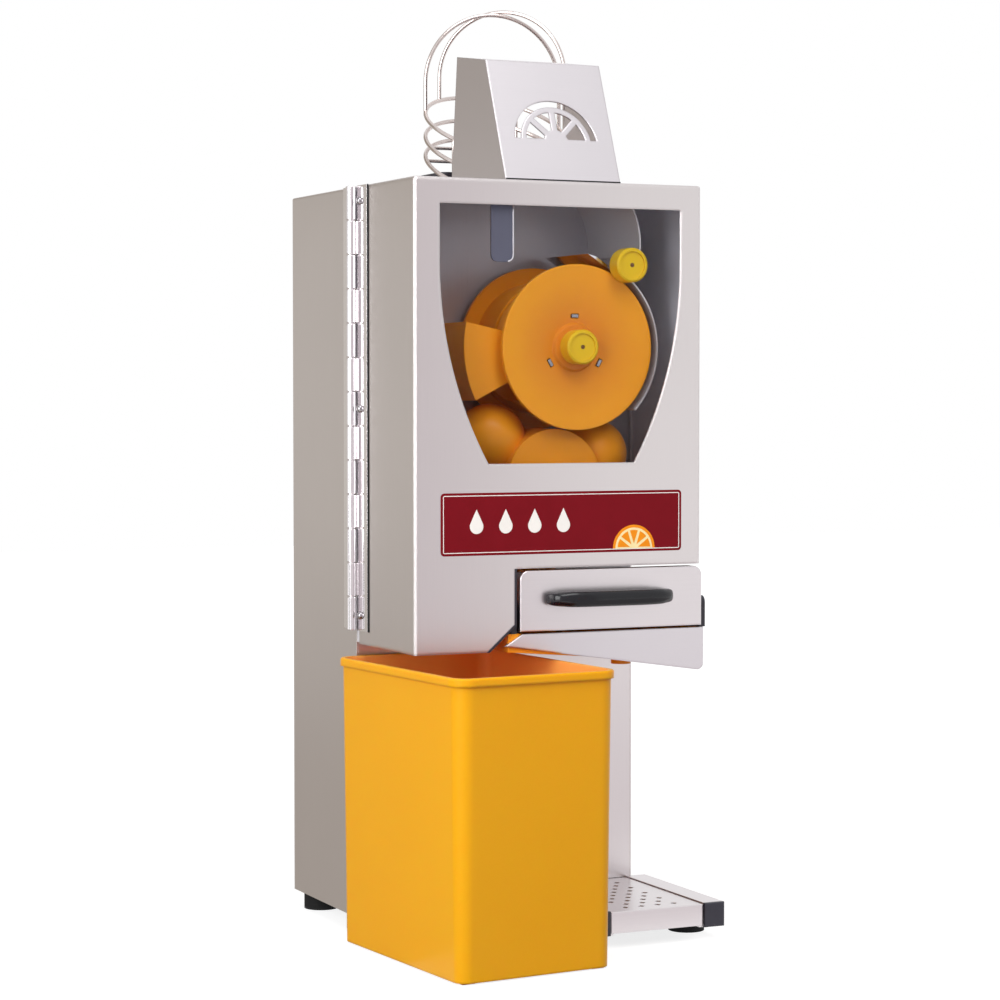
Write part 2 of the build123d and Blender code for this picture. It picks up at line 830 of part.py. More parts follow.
def drive_motor():
    """Motor on the gearbox, with a narrower end cap."""
    front = bearing_plate_back + gearbox_length
    back = front + motor_length
    body = rod(pinion_x, pinion_z, motor_radius, front, back - motor_cap_length)
    return body + rod(pinion_x, pinion_z, motor_radius - motor_cap_step, back - motor_cap_length, back)


def locking_knob(x, z, y_back, bore):
    """Round knob with a sunken face and a socket for its stud."""
    y_front = y_back - knob_length
    points = [
        (0, y_front + knob_face_depth), (knob_face_radius, y_front + knob_face_depth),
        (knob_face_radius, y_front), (knob_radius - knob_chamfer, y_front),
        (knob_radius, y_front + knob_chamfer), (knob_radius, y_back),
        (bore, y_back), (bore, y_back - knob_socket), (0, y_back - knob_socket),
    ]
    return turned(points, x, z)


def ball_drum():
    """Drum with squeezing balls that roll into the cups."""
    front = drum_front + ball_hub_inset
    back = drum_back - ball_hub_inset
    body = rod(ball_axis_x, ball_axis_z, ball_hub_radius, front, back)
    for angle in ball_angles:
        x, z = around(ball_axis_x, ball_axis_z, pitch_radius, angle)
        body += Pos(x, drum_middle, z) * Rot(0, 90 - angle, 0) * Sphere(ball_radius)
    body += rod(ball_axis_x, ball_axis_z, collar_radius, back, -bush_flange - collar_gap)
    return body - rod(ball_axis_x, ball_axis_z, shaft_radius + seat_fit, drum_front - 1, 1)


def ball_nut():
    """Closed hexagonal nut that holds the ball drum on its shaft."""
    back = drum_front + ball_hub_inset
    front = back - ball_nut_length
    nut = slab(Pos(ball_axis_x, ball_axis_z) * RegularPolygon(ball_nut_radius, 6), front, back)
    return nut - rod(ball_axis_x, ball_axis_z, shaft_radius + seat_fit, front + 3, back + 1)


def fruit_band():
    """Steel band round the right of the cup drum, bent up into a fruit guide, with a lug for its stud."""
    outer = band_radius + sheet
    round_part = sector(cup_axis_x, cup_axis_z, band_radius, outer, band_low_angle, band_high_angle)
    start = around(cup_axis_x, cup_axis_z, band_radius + sheet / 2, band_high_angle)
    end = (start[0] - band_top_inset, cabinet_top - sheet - band_top_drop)
    middle = (max(start[0], end[0]) + band_bulge, (start[1] + end[1]) / 2)
    path = ThreePointArc(start, middle, end)
    guide = make_face(offset(path, amount=sheet / 2, side=Side.BOTH))
    band = slab(round_part + guide, -band_width, 0)
    lug = Pos(stud_x, stud_z) * Circle(lug_radius)
    lug += polygon([(stud_x, stud_z - lug_half), (stud_x, stud_z + lug_half), tuple(path @ 0.34)[:2],
                    tuple(path @ 0.1)[:2]])
    band += slab(lug, -band_width - sheet, -band_width)
    return band - rod(stud_x, stud_z, stud_radius + seat_fit, -band_width - 5, -band_width + 5)


def guide_stud():
    """Stud on the bulkhead that carries the knife and the band."""
    tip = -band_width - sheet - slide_gap - knob_socket + 1
    stud = rod(stud_x, stud_z, stud_radius, tip, 0)
    return stud + rod(stud_x, stud_z, stud_flange_radius, -stud_flange, 0)


def knife():
    """Blade on a sleeve round the stud, with its edge towards the fruit."""
    reach = hypot(stud_x - cup_axis_x, stud_z - cup_axis_z)
    ux = (stud_x - cup_axis_x) / reach
    uz = (stud_z - cup_axis_z) / reach
    inset = knife_sleeve_radius - knife_thickness
    low = (stud_x - ux * (inset + knife_thickness), stud_z - uz * (inset + knife_thickness))
    high = (stud_x - ux * inset, stud_z - uz * inset)
    along = (-uz, ux)
    edge = (low[0] + along[0] * knife_length, low[1] + along[1] * knife_length)
    flat = knife_length - knife_bevel
    bevel = (high[0] + along[0] * flat, high[1] + along[1] * flat)
    front = -band_width + knife_end_gap
    back = -stud_flange
    blade = slab(polygon([low, edge, bevel, high]), front, back - knife_end_gap)
    sleeve = rod(stud_x, stud_z, knife_sleeve_radius, front, back)
    return blade + sleeve - rod(stud_x, stud_z, stud_radius + seat_fit, front - 1, back + 1)


def peel_ejector():
    """Curved wedge on the bulkhead, with a finger in the groove of the cup drum."""
    low = ejector_low_angle
    high = ejector_high_angle
    inner = pitch_radius + ejector_gap
    front = drum_front + ball_hub_inset
    behind = drum_back - ejector_flange_gap
    outer = ejector_outer_radius
    body = slab(sector(cup_axis_x, cup_axis_z, inner, outer, high, low), front, behind)
    clear = flange_radius + ejector_flange_gap
    body += slab(sector(cup_axis_x, cup_axis_z, clear, outer, high, low), behind, 0)
    tip = groove_floor + finger_tip_gap
    root = [around(cup_axis_x, cup_axis_z, inner + 1, angle) for angle in (low - finger_span, low)]
    finger = polygon(root + [around(cup_axis_x, cup_axis_z, tip, low)])
    half = finger_thickness / 2
    return body + slab(finger, drum_middle - half, drum_middle + half)


def juice_tank():
    """Moulded trough under the drawer; its floor falls towards the spout."""
    front = cover_front + tank_front_gap
    outer = polygon(tank_points(0, 0))
    inner = polygon(tank_points(tank_wall, 1))
    body = slab(outer, front, 0) - slab(inner, front + tank_wall, -tank_wall)
    return body - post(spout_x, spout_y, spout_bore, spout_bottom, tank_top)


def tank_points(wall, raised):
    """Section of the tank, or of its inside when a wall is taken off."""
    left = tank_left + (tank_rim if wall else 0)
    return [
        (left, tank_top + raised), (left, tank_top - tank_left_depth + wall),
        (tank_right - wall - (2 if wall else 0), tank_top - tank_right_depth + wall),
        (tank_right - wall, tank_top + raised),
    ]


def tank_front():
    """Steel front of the tank, with a sloping lower edge."""
    low_right = (tank_right, tank_top - front_panel_right_drop)
    face = polygon([
        (front_panel_top_left, tank_top), (front_panel_left, tank_top - front_panel_left_drop),
        low_right, (tank_right, tank_top),
    ])
    corner = face.vertices().sort_by_distance(Vector(low_right[0], low_right[1], 0))[0]
    face = fillet(corner, front_panel_corner)
    panel = slab(face, cover_front, cover_front + tank_front_gap)
    return fillet(panel.faces().sort_by(Axis.Y)[0].edges(), 1.0)


def juice_spout():
    """Short outlet tube under the tank."""
    tube = post(spout_x, spout_y, spout_radius, spout_bottom, tank_top - tank_left_depth)
    tube -= post(spout_x, spout_y, spout_bore, spout_bottom - 1, tank_top)
    return tube - slab(polygon(tank_points(0, 0)), cover_front, 0)


def drawer_rail(side):
    """Plastic rail on the tank's rim. side is -1 on the left and 1 on the right."""
    inner = drawer_left - drawer_side_gap / 2 if side < 0 else drawer_right + rail_gap
    outer = inner + side * rail_thickness
    front = cover_front + tank_front_gap
    wall = block(min(inner, outer), max(inner, outer), front, -tank_wall, tank_top, tank_top + rail_height)
    wall = fillet(wall.edges().filter_by(Axis.X).group_by(Axis.Z)[-1].sort_by(Axis.Y)[0], rail_corner)
    ledge_end = inner - side * rail_ledge
    ledge_front = drawer_face + drawer_return + slide_gap
    ledge_top = drawer_bottom + sheet - slide_gap
    ledge = block(min(inner, ledge_end), max(inner, ledge_end), ledge_front, -tank_wall, tank_top, ledge_top)
    return wall + ledge


def drawer_front():
    """Folded front of the drawer."""
    middle = ((drawer_left + drawer_right) / 2, (drawer_bottom + drawer_top) / 2)
    face = Pos(*middle) * Rectangle(drawer_width, drawer_height)
    face = fillet(face.vertices().group_by(Axis.Y)[-1], drawer_corner)
    inside = offset(face, amount=-sheet)
    pan = slab(face, drawer_face, drawer_face + drawer_return)
    pan = fillet(pan.faces().sort_by(Axis.Y)[0].edges(), 1.2)
    return pan - slab(inside, drawer_face + sheet, drawer_face + drawer_return + 1)


def drawer_tray():
    """Tray behind the drawer front, with an open floor for the filter."""
    left = drawer_left + sheet + slide_gap
    right = drawer_right - sheet - slide_gap
    front = drawer_face + sheet
    back = -tray_back_gap
    bottom = drawer_bottom + sheet
    tray = block(left, right, front, back, bottom, bottom + tray_height)
    tray -= block(left + sheet, right - sheet, front + sheet, back - sheet,
                  bottom + sheet, bottom + tray_height + 1)
    edge = sheet + tray_floor_border
    return tray - block(left + edge, right - edge, front + edge, back - edge, bottom - 1, bottom + 5)


def filter_sheet():
    """Slotted sheet on the floor of the tray."""
    left = drawer_left + 2 * sheet + 2 * slide_gap
    right = drawer_right - 2 * sheet - 2 * slide_gap
    front = drawer_face + 2 * sheet + slide_gap
    back = -tray_back_gap - sheet - slide_gap
    bottom = drawer_bottom + 2 * sheet
    border = sheet + tray_floor_border
    pitch_x = (right - left - 2 * border) / filter_columns
    pitch_y = (back - front - 2 * border) / filter_rows
    middle = ((left + right) / 2, (front + back) / 2)
    plate = Pos(*middle) * Rectangle(right - left, back - front)
    plate -= Pos(*middle) * GridLocations(pitch_x, pitch_y, filter_columns, filter_rows) * Rectangle(
        filter_slot, filter_slot_width)
    return Pos(0, 0, bottom) * extrude(plate, amount=filter_thickness)


def drawer_handle():
    """Bridge handle with round ends."""
    x = (drawer_left + drawer_right) / 2 + handle_offset_x
    z = (drawer_bottom + drawer_top) / 2 + handle_offset_z
    outline = Pos(x, z) * SlotOverall(handle_length, handle_height)
    grip = slab(outline, drawer_face - handle_depth, drawer_face)
    grip = fillet(grip.faces().sort_by(Axis.Y)[0].edges(), handle_round)
    reach = handle_length / 2 - handle_foot
    return grip - block(x - reach, x + reach, drawer_face - handle_depth + handle_bar, drawer_face + 1,
                        z - handle_height, z + handle_height)


def drip_pan():
    """Pan between the base tubes."""
    bottom = tube_bottom + tube_ledge_thickness + slide_gap
    front = -tube_length
    top = grid_top - grid_thickness
    back = -tray_end_gap
    pan = block(tray_left, tray_right, front, back, bottom, top)
    return pan - block(tray_left + pan_wall, tray_right - pan_wall, front + pan_wall, back - pan_wall,
                       bottom + pan_wall, top + 1)


def drip_grid():
    """Perforated cover of the pan, with an apron in front."""
    front = -tube_length
    columns = int((tray_right - tray_left - 2 * grid_border) / grid_pitch) + 1
    rows = int((tube_length - 2 * grid_border) / grid_row_pitch) + 1
    middle = (tray_left + tray_right) / 2
    plate = Pos(middle, (front - tray_end_gap) / 2) * Rectangle(tray_right - tray_left, -tray_end_gap - front)
    hole = RegularPolygon(grid_hole_radius, grid_hole_sides)
    for row in range(rows):
        count = columns - row % 2
        y = front + grid_border + row * grid_row_pitch
        plate -= Pos(middle, y) * GridLocations(grid_pitch, 1, count, 1) * hole
    top = Pos(0, 0, grid_top - grid_thickness) * extrude(plate, amount=grid_thickness)
    apron = block(tray_left, tray_right, front - grid_thickness, front, grid_top - grid_apron_drop, grid_top)
    return top + fillet(apron.edges().group_by(Axis.Y)[0], 1.0)


def bin_section(grow, height):
    """Rounded section of the bin at a height."""
    spread = grow - bin_draft * (1 - (height - bin_pad) / (bin_height - bin_pad))
    section = RectangleRounded(bin_width + 2 * spread, bin_length + 2 * spread, bin_corner + spread)
    return Pos(0, 0, height) * section


def waste_bin():
    """Tapered bin with a rolled lip and corner pads, standing at a slight angle."""
    floor = bin_pad + bin_wall
    body = loft([bin_section(0, bin_pad), bin_section(0, bin_height)])
    lip = extrude(Pos(0, 0, -bin_lip_height) * bin_section(bin_lip, bin_height), amount=bin_lip_height)
    lip = chamfer(lip.edges().group_by(Axis.Z)[-1], 1.2)
    body = body + lip - loft([bin_section(-bin_wall, floor), bin_section(-bin_wall, bin_height + 1)])
    pad = Pos(0, 0, floor / 2) * Box(2 * bin_pad_radius, 2 * bin_pad_radius, floor)
    for x in (-bin_half_x, bin_half_x):
        for y in (-bin_half_y, bin_half_y):
            body += Pos(x, y) * pad
    return Pos(bin_x, bin_y) * Rot(0, 0, bin_yaw) * body


def side_box(x0, x1, width, height):
    """Box on the right wall, about the switch."""
    return block(x0, x1, switch_y - width / 2, switch_y + width / 2,
                 switch_z - height / 2, switch_z + height / 2)


def switch_bezel():
    """Housing of the start switch, open towards the outside."""
    inner_width = switch_width - 2 * seat_fit
    inner_height = switch_height - 2 * seat_fit
    housing = side_box(half_width - switch_depth, half_width, inner_width, inner_height)
    frame = side_box(half_width, half_width + switch_rise,
                     switch_width + 2 * switch_frame, switch_height + 2 * switch_frame)
    frame = fillet(frame.edges().group_by(Axis.X)[-1], 1.0)
    hollow = side_box(half_width - switch_depth + switch_wall, half_width + 5,
                      inner_width - 2 * switch_wall, inner_height - 2 * switch_wall)
    return housing + frame - hollow


def switch_rocker():
    """Rocker of the start switch, tilted to its off side."""
    width = switch_width - 2 * switch_wall - 2 * rocker_gap
    half = switch_height / 2 - switch_wall - 2 * rocker_gap
    section = polygon([(-3, -half * 0.8), (2, -half), (0.6, 0), (2, half), (-3, half * 0.8), (-9, 0)])
    rocker = slab(section, -width / 2, width / 2)
    return Pos(half_width + 1, switch_y, switch_z) * Rot(0, rocker_tilt, 0) * rocker


def power_inlet():
    """Mains inlet in the back panel, with its contact pins in a recess."""
    width = inlet_width - 2 * seat_fit
    height = inlet_height - 2 * seat_fit
    back = cabinet_depth
    body = slab(Pos(inlet_x, inlet_z) * Rectangle(width, height), back - inlet_depth, back)
    rim = 2 * inlet_flange
    flange = Pos(inlet_x, inlet_z) * Rectangle(inlet_width + rim, inlet_height + rim)
    body += slab(flange, back, back + inlet_flange_thickness)
    recess = Pos(inlet_x, inlet_z) * Rectangle(width - 2 * inlet_wall, height - 2 * inlet_wall)
    body -= slab(recess, back - inlet_depth + 5, back + 3)
    for x, z in ((-6.5, -2), (0, 2.5), (6.5, -2)):
        body += block(inlet_x + x - 1, inlet_x + x + 1, back - inlet_depth + 4, back - 4,
                      inlet_z + z - 2, inlet_z + z + 2)
    return body


def cover_magnet():
    """Catch magnet inside the right wall of the cover."""
    right = half_width - sheet
    return block(right - magnet_size, right, cover_back - 2 - magnet_size, cover_back - 2,
                 magnet_z - magnet_height / 2, magnet_z + magnet_height / 2)


def cover_sensor():
    """Sensor and strike on the bulkhead, opposite the magnet."""
    right = half_width - sheet
    return block(right - magnet_size, right, -sensor_depth, 0,
                 magnet_z - magnet_height / 2, magnet_z + magnet_height / 2)


def control_box():
    """Box with the motor control, on the floor of the cabinet."""
    y_back = cabinet_depth - sheet
    box = block(control_x - control_width / 2, control_x + control_width / 2, y_back - control_depth, y_back,
                foot_height + sheet, foot_height + sheet + control_height)
    return fillet(box.edges().group_by(Axis.Y)[0], 3)


parts = {
    "cabinet_shell": cabinet_shell(),
    "back_panel": back_panel(),
    "base_plate": base_plate(),
    "bulkhead": bulkhead(),
    "left_base_tube": base_tube(left_tube_x, 1),
    "right_base_tube": base_tube(right_tube_x, -1),
    "left_tube_cap": tube_cap(left_tube_x),
    "right_tube_cap": tube_cap(right_tube_x),
    "cabinet_feet": cabinet_feet(),
    "tube_feet": tube_feet(),
    "cabinet_hinge_leaf": hinge_leaf(1, 0),
    "hinge_pin": hinge_pin(),
    "bearing_plate": bearing_plate(),
    "plate_spacers": plate_spacers(),
    "cup_front_bush": front_bush(cup_axis_x, cup_axis_z),
    "cup_rear_bush": rear_bush(cup_axis_x, cup_axis_z),
    "ball_front_bush": front_bush(ball_axis_x, ball_axis_z),
    "ball_rear_bush": rear_bush(ball_axis_x, ball_axis_z),
    "gearbox": gearbox(),
    "drive_motor": drive_motor(),
    "fruit_band": fruit_band(),
    "guide_stud": guide_stud(),
    "knife": knife(),
    "peel_ejector": peel_ejector(),
    "juice_tank": juice_tank(),
    "tank_front": tank_front(),
    "juice_spout": juice_spout(),
    "left_drawer_rail": drawer_rail(-1),
    "right_drawer_rail": drawer_rail(1),
    "wire_feeder": wire_feeder(),
    "feeder_base": feeder_base(),
    "switch_bezel": switch_bezel(),
    "power_inlet": power_inlet(),
    "cover_sensor": cover_sensor(),
    "control_box": control_box(),
    "cover_shell": cover_shell(),
    "window_pane": window_pane(),
    "cover_hinge_leaf": hinge_leaf(-1, 1),
    "feed_hood": feed_hood(),
    "gate_plate": gate_plate(),
    "cover_magnet": cover_magnet(),
    "cup_drum": cup_drum(),
    "front_dish": front_dish(),
    "cup_shaft": drum_shaft(cup_axis_x, cup_axis_z, dish_face - slide_gap - knob_socket + 1),
    "cup_gear": drum_gear(cup_axis_x, cup_axis_z, nip_angle),
    "dish_knob": locking_knob(cup_axis_x, cup_axis_z, dish_face - slide_gap, shaft_radius + running_fit),
    "ball_drum": ball_drum(),
    "ball_shaft": drum_shaft(ball_axis_x, ball_axis_z, drum_front + ball_hub_inset - ball_nut_length + 4),
    "ball_gear": drum_gear(ball_axis_x, ball_axis_z, nip_angle + 180 + 180 / gear_teeth),
    "ball_nut": ball_nut(),
    "drive_pinion": drive_pinion(),
    "drawer_front": drawer_front(),
    "drawer_tray": drawer_tray(),
    "filter_sheet": filter_sheet(),
    "drawer_handle": drawer_handle(),
    "drip_pan": drip_pan(),
    "drip_grid": drip_grid(),
    "waste_bin": waste_bin(),
    "guide_knob": locking_knob(stud_x, stud_z, -band_width - sheet - slide_gap, stud_radius + running_fit),
    "switch_rocker": switch_rocker(),
}

# The origin lies on the counter, under the middle of the whole machine.
boxes = [part.bounding_box() for part in parts.values()]
middle_x = (min(box.min.X for box in boxes) + max(box.max.X for box in boxes)) / 2
middle_y = (min(box.min.Y for box in boxes) + max(box.max.Y for box in boxes)) / 2
print("middle of the machine:", round(middle_x, 4), round(middle_y, 4))
print("ball axis:", round(ball_axis_x, 4), round(ball_axis_z, 4))
print("pinion axis:", round(pinion_x, 4), round(pinion_z, 4))

os.makedirs("parts", exist_ok=True)
for name, part in parts.items():
    export_step(Pos(-middle_x, -middle_y, 0) * part, f"parts/{name}.step")
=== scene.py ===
"""Looks of an automatic orange juicer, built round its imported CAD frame."""

import functools
import json
import logging
import math
from abc import ABC, abstractmethod
from dataclasses import dataclass
from enum import Enum
from typing import ClassVar

import bmesh
import bpy
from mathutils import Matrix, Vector

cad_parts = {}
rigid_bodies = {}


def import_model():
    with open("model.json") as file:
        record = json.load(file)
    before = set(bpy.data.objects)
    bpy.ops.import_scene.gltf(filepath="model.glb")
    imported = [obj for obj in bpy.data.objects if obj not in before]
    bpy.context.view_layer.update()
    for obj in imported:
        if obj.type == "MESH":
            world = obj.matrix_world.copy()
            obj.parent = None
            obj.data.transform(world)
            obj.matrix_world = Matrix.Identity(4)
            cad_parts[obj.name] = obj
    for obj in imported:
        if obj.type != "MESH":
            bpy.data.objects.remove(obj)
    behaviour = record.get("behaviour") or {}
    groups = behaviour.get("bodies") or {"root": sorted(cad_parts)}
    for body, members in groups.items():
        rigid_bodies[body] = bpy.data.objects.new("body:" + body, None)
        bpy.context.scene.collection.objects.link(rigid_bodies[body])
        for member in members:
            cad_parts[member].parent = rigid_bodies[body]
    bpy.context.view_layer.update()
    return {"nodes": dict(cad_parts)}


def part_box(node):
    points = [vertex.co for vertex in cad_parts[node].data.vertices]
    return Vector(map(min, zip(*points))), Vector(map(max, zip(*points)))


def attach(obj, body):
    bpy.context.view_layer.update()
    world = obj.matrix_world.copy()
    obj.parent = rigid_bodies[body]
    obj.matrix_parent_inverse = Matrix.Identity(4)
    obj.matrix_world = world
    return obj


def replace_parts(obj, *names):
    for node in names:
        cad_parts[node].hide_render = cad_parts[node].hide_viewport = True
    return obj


for leftover in list(bpy.data.objects):
    bpy.data.objects.remove(leftover)

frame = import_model()
LOG = logging.getLogger("orange_juicer")

# Places in the machine are in millimetres, from the counter below the middle of the cabinet's front.
MM = 0.001
HALF_WIDTH = 140.0
COVER_FRONT = -133.0
CUP_AXIS = (31.0, 533.6)

# Most of the noise lies within this span, so tones and roughness run across it.
NOISE_SPAN = (0.3, 0.7)
WHITE = (1.0, 1.0, 1.0, 1.0)

# Rows of a domed head, as shares of its radius and its height.
SCREW_DOME = ((1.0, 0.0), (1.0, 0.35), (0.8, 0.75), (0.45, 1.0))
PIN_DOME = ((1.0, 0.0), (1.0, 0.5), (0.6, 1.0))

Colour = tuple[int, int, int]
Point2 = tuple[float, float]
Triple = tuple[float, float, float]
Socket = bpy.types.NodeSocket


class Grain(Enum):
    """Direction in which a surface was brushed, as a stretch of the noise along x, y and z."""

    EVEN = (1.0, 1.0, 1.0)
    ALONG_X = (0.012, 1.0, 1.0)
    ALONG_Z = (1.0, 1.0, 0.012)


class Body(Enum):
    """Moving bodies of the frame that carry dressed pieces."""

    CABINET = "cabinet"
    COVER = "front_cover"
    CUP_UNIT = "cup_unit"
    DISH_KNOB = "dish_knob"
    GUIDE_KNOB = "guide_knob"
    DRAWER = "filter_drawer"


class Slot(Enum):
    """Material slots of the record that dressed pieces go with."""

    SHEET = "brushed_steel"
    YELLOW = "yellow_plastic"
    BLACK = "black_plastic"
    GLOSS = "gloss_black"
    RUBBER = "rubber"
    WIRE = "chrome_wire"


def linear(colour: Colour) -> tuple[float, float, float, float]:
    """Turn a colour as seen on screen into the shader's own units.

    Args:
        colour: red, green and blue from 0 to 255.

    Returns:
        Red, green, blue and a full alpha, linear.
    """
    parts = [c / 255 for c in colour]
    flat = [p / 12.92 if p <= 0.04045 else ((p + 0.055) / 1.055) ** 2.4 for p in parts]
    return (*flat, 1.0)


def machine_point(x: float, y: float, z: float) -> Vector:
    """Point of the frame, given in millimetres to the right, away from the user and up."""
    low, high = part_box("cabinet_shell")
    return Vector(((low.x + high.x) / 2 + x * MM, low.y + y * MM, z * MM))


def machine_box(node: str) -> tuple[Vector, Vector]:
    """Lowest and highest corners of a CAD node, given as machine points are.

    Args:
        node: name of the node.

    Returns:
        Both corners in millimetres.
    """
    start = machine_point(0.0, 0.0, 0.0)
    low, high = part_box(node)
    return (low - start) / MM, (high - start) / MM


def polar(middle: Point2, radius: float, angle: float) -> Point2:
    """Point at a radius and an angle, in degrees, from a middle."""
    turn = math.radians(angle)
    return (middle[0] + radius * math.cos(turn), middle[1] + radius * math.sin(turn))


def arc(middle: Point2, radius: float, start: float, end: float, steps: int) -> list[Point2]:
    """Points in equal steps along an arc between two angles, in degrees."""
    return [polar(middle, radius, start + (end - start) * i / steps) for i in range(steps + 1)]


def dome(radius: float, height: float, shape: tuple[Point2, ...] = SCREW_DOME) -> list[Point2]:
    """Profile of a small domed head, as the radius and height of each row."""
    return [(radius * across, height * up) for across, up in shape]


class NodeSheet:
    """Small helper that lays out the nodes of one material or world."""

    def __init__(self, tree: bpy.types.NodeTree) -> None:
        """Start from an empty tree."""
        self.tree = tree
        self.tree.nodes.clear()

    def add(self, kind: str, **values: object) -> bpy.types.Node:
        """Add a node.

        Args:
            kind: node type.
            values: input sockets by name with spaces as underscores, or node settings.

        Returns:
            The new node.
        """
        node = self.tree.nodes.new(kind)
        for key, value in values.items():
            socket = node.inputs.get(key.replace("_", " "))
            if socket is not None:
                socket.default_value = value
            else:
                setattr(node, key, value)
        return node

    def link(self, source: Socket, target: Socket) -> None:
        """Join two sockets."""
        self.tree.links.new(source, target)

    def join(self, kind: str, *sources: Socket) -> Socket:
        """Add a node that is fed in the order of its inputs.

        Args:
            kind: node type.
            sources: sockets that feed its inputs.

        Returns:
            Its first output.
        """
        node = self.add(kind)
        for source, target in zip(sources, node.inputs):
            self.link(source, target)
        return node.outputs[0]

    def close(self, surface: Socket, kind: str = "ShaderNodeOutputMaterial") -> None:
        """Lead a shader to the output node."""
        self.link(surface, self.add(kind).inputs["Surface"])

    def mapped(self, **values: object) -> Socket:
        """Place on the piece, led through a mapping.

        Args:
            values: settings of the mapping.

        Returns:
            The socket with the mapped place.
        """
        mapping = self.add("ShaderNodeMapping", **values)
        self.link(self.add("ShaderNodeTexCoord").outputs["Object"], mapping.inputs["Vector"])
        return mapping.outputs["Vector"]

    def place(self, start: Vector | Triple = (0.0, 0.0, 0.0), turn: float = 0.0) -> tuple[Socket, ...]:
        """Place on the piece, measured from a point.

        Args:
            start: the point, in the frame.
            turn: angle of the axes about the upright, in degrees.

        Returns:
            Sockets with x, y and z in metres.
        """
        angles = (0.0, 0.0, math.radians(turn))
        place = self.mapped(vector_type="TEXTURE", Location=start, Rotation=angles)
        parts = self.add("ShaderNodeSeparateXYZ")
        self.link(place, parts.inputs["Vector"])
        return tuple(parts.outputs)

    def noise(self, scale: float, detail: float, brushed: Grain = Grain.EVEN) -> Socket:
        """Noise in the piece's own space.

        Args:
            scale: cells per metre.
            detail: octaves.
            brushed: direction in which it is drawn out.

        Returns:
            The socket with the noise value.
        """
        noise = self.add("ShaderNodeTexNoise", Scale=scale, Detail=detail)
        self.link(self.mapped(Scale=brushed.value), noise.inputs["Vector"])
        return noise.outputs["Fac"]

    def math(self, operation: str, first: Socket, second: Socket | float = 0.0) -> Socket:
        """Combine two values.

        Args:
            operation: what to do with them.
            first: socket with the first value.
            second: socket with the second value, or a number.

        Returns:
            The socket with the result.
        """
        node = self.add("ShaderNodeMath", operation=operation)
        self.link(first, node.inputs[0])
        if isinstance(second, float):
            node.inputs[1].default_value = second
        else:
            self.link(second, node.inputs[1])
        return node.outputs["Value"]

    def length(self, first: Socket, second: Socket) -> Socket:
        """Length of the way whose two parts stand square to each other."""
        squares = [self.math("MULTIPLY", part, part) for part in (first, second)]
        return self.math("POWER", self.math("ADD", *squares), 0.5)

    def ramp(self, value: Socket, start: float, end: float, low: float = 0.0, high: float = 1.0) -> Socket:
        """Map a value from one range to another, held at both ends.

        Args:
            value: socket with the value.
            start: value at which the range starts.
            end: value at which it ends.
            low: result at the start.
            high: result at the end.

        Returns:
            The mapped socket.
        """
        span = self.add("ShaderNodeMapRange", From_Min=start, From_Max=end, To_Min=low, To_Max=high)
        self.link(value, span.inputs["Value"])
        return span.outputs["Result"]

    def tint(self, value: Socket, low: Colour, high: Colour) -> Socket:
        """Colour that runs between two tones over the span of the noise.

        Args:
            value: socket with a value from 0 to 1.
            low: tone at the lower end of the span.
            high: tone at its upper end.

        Returns:
            The colour socket.
        """
        ramp = self.add("ShaderNodeValToRGB")
        for element, position, tone in zip(ramp.color_ramp.elements, NOISE_SPAN, (low, high)):
            element.position = position
            element.color = linear(tone)
        self.link(value, ramp.inputs["Fac"])
        return ramp.outputs["Color"]

    def relief(self, height: Socket, strength: float, depth: float, edge: float) -> Socket:
        """Normal with a fine bump and slightly broken edges.

        Args:
            height: socket with the height of the bump.
            strength: how much it shows.
            depth: its depth in metres.
            edge: radius of the edges in metres.

        Returns:
            The normal socket.
        """
        bevel = self.add("ShaderNodeBevel", samples=4, Radius=edge)
        bump = self.add("ShaderNodeBump", Strength=strength, Distance=depth)
        self.link(height, bump.inputs["Height"])
        self.link(bevel.outputs["Normal"], bump.inputs["Normal"])
        return bump.outputs["Normal"]


def new_material(name: str) -> tuple[bpy.types.Material, NodeSheet]:
    """Start an empty material.

    Args:
        name: name of the material.

    Returns:
        The material and the sheet that takes its nodes.
    """
    material = bpy.data.materials.new(name)
    material.use_nodes = True
    return material, NodeSheet(material.node_tree)


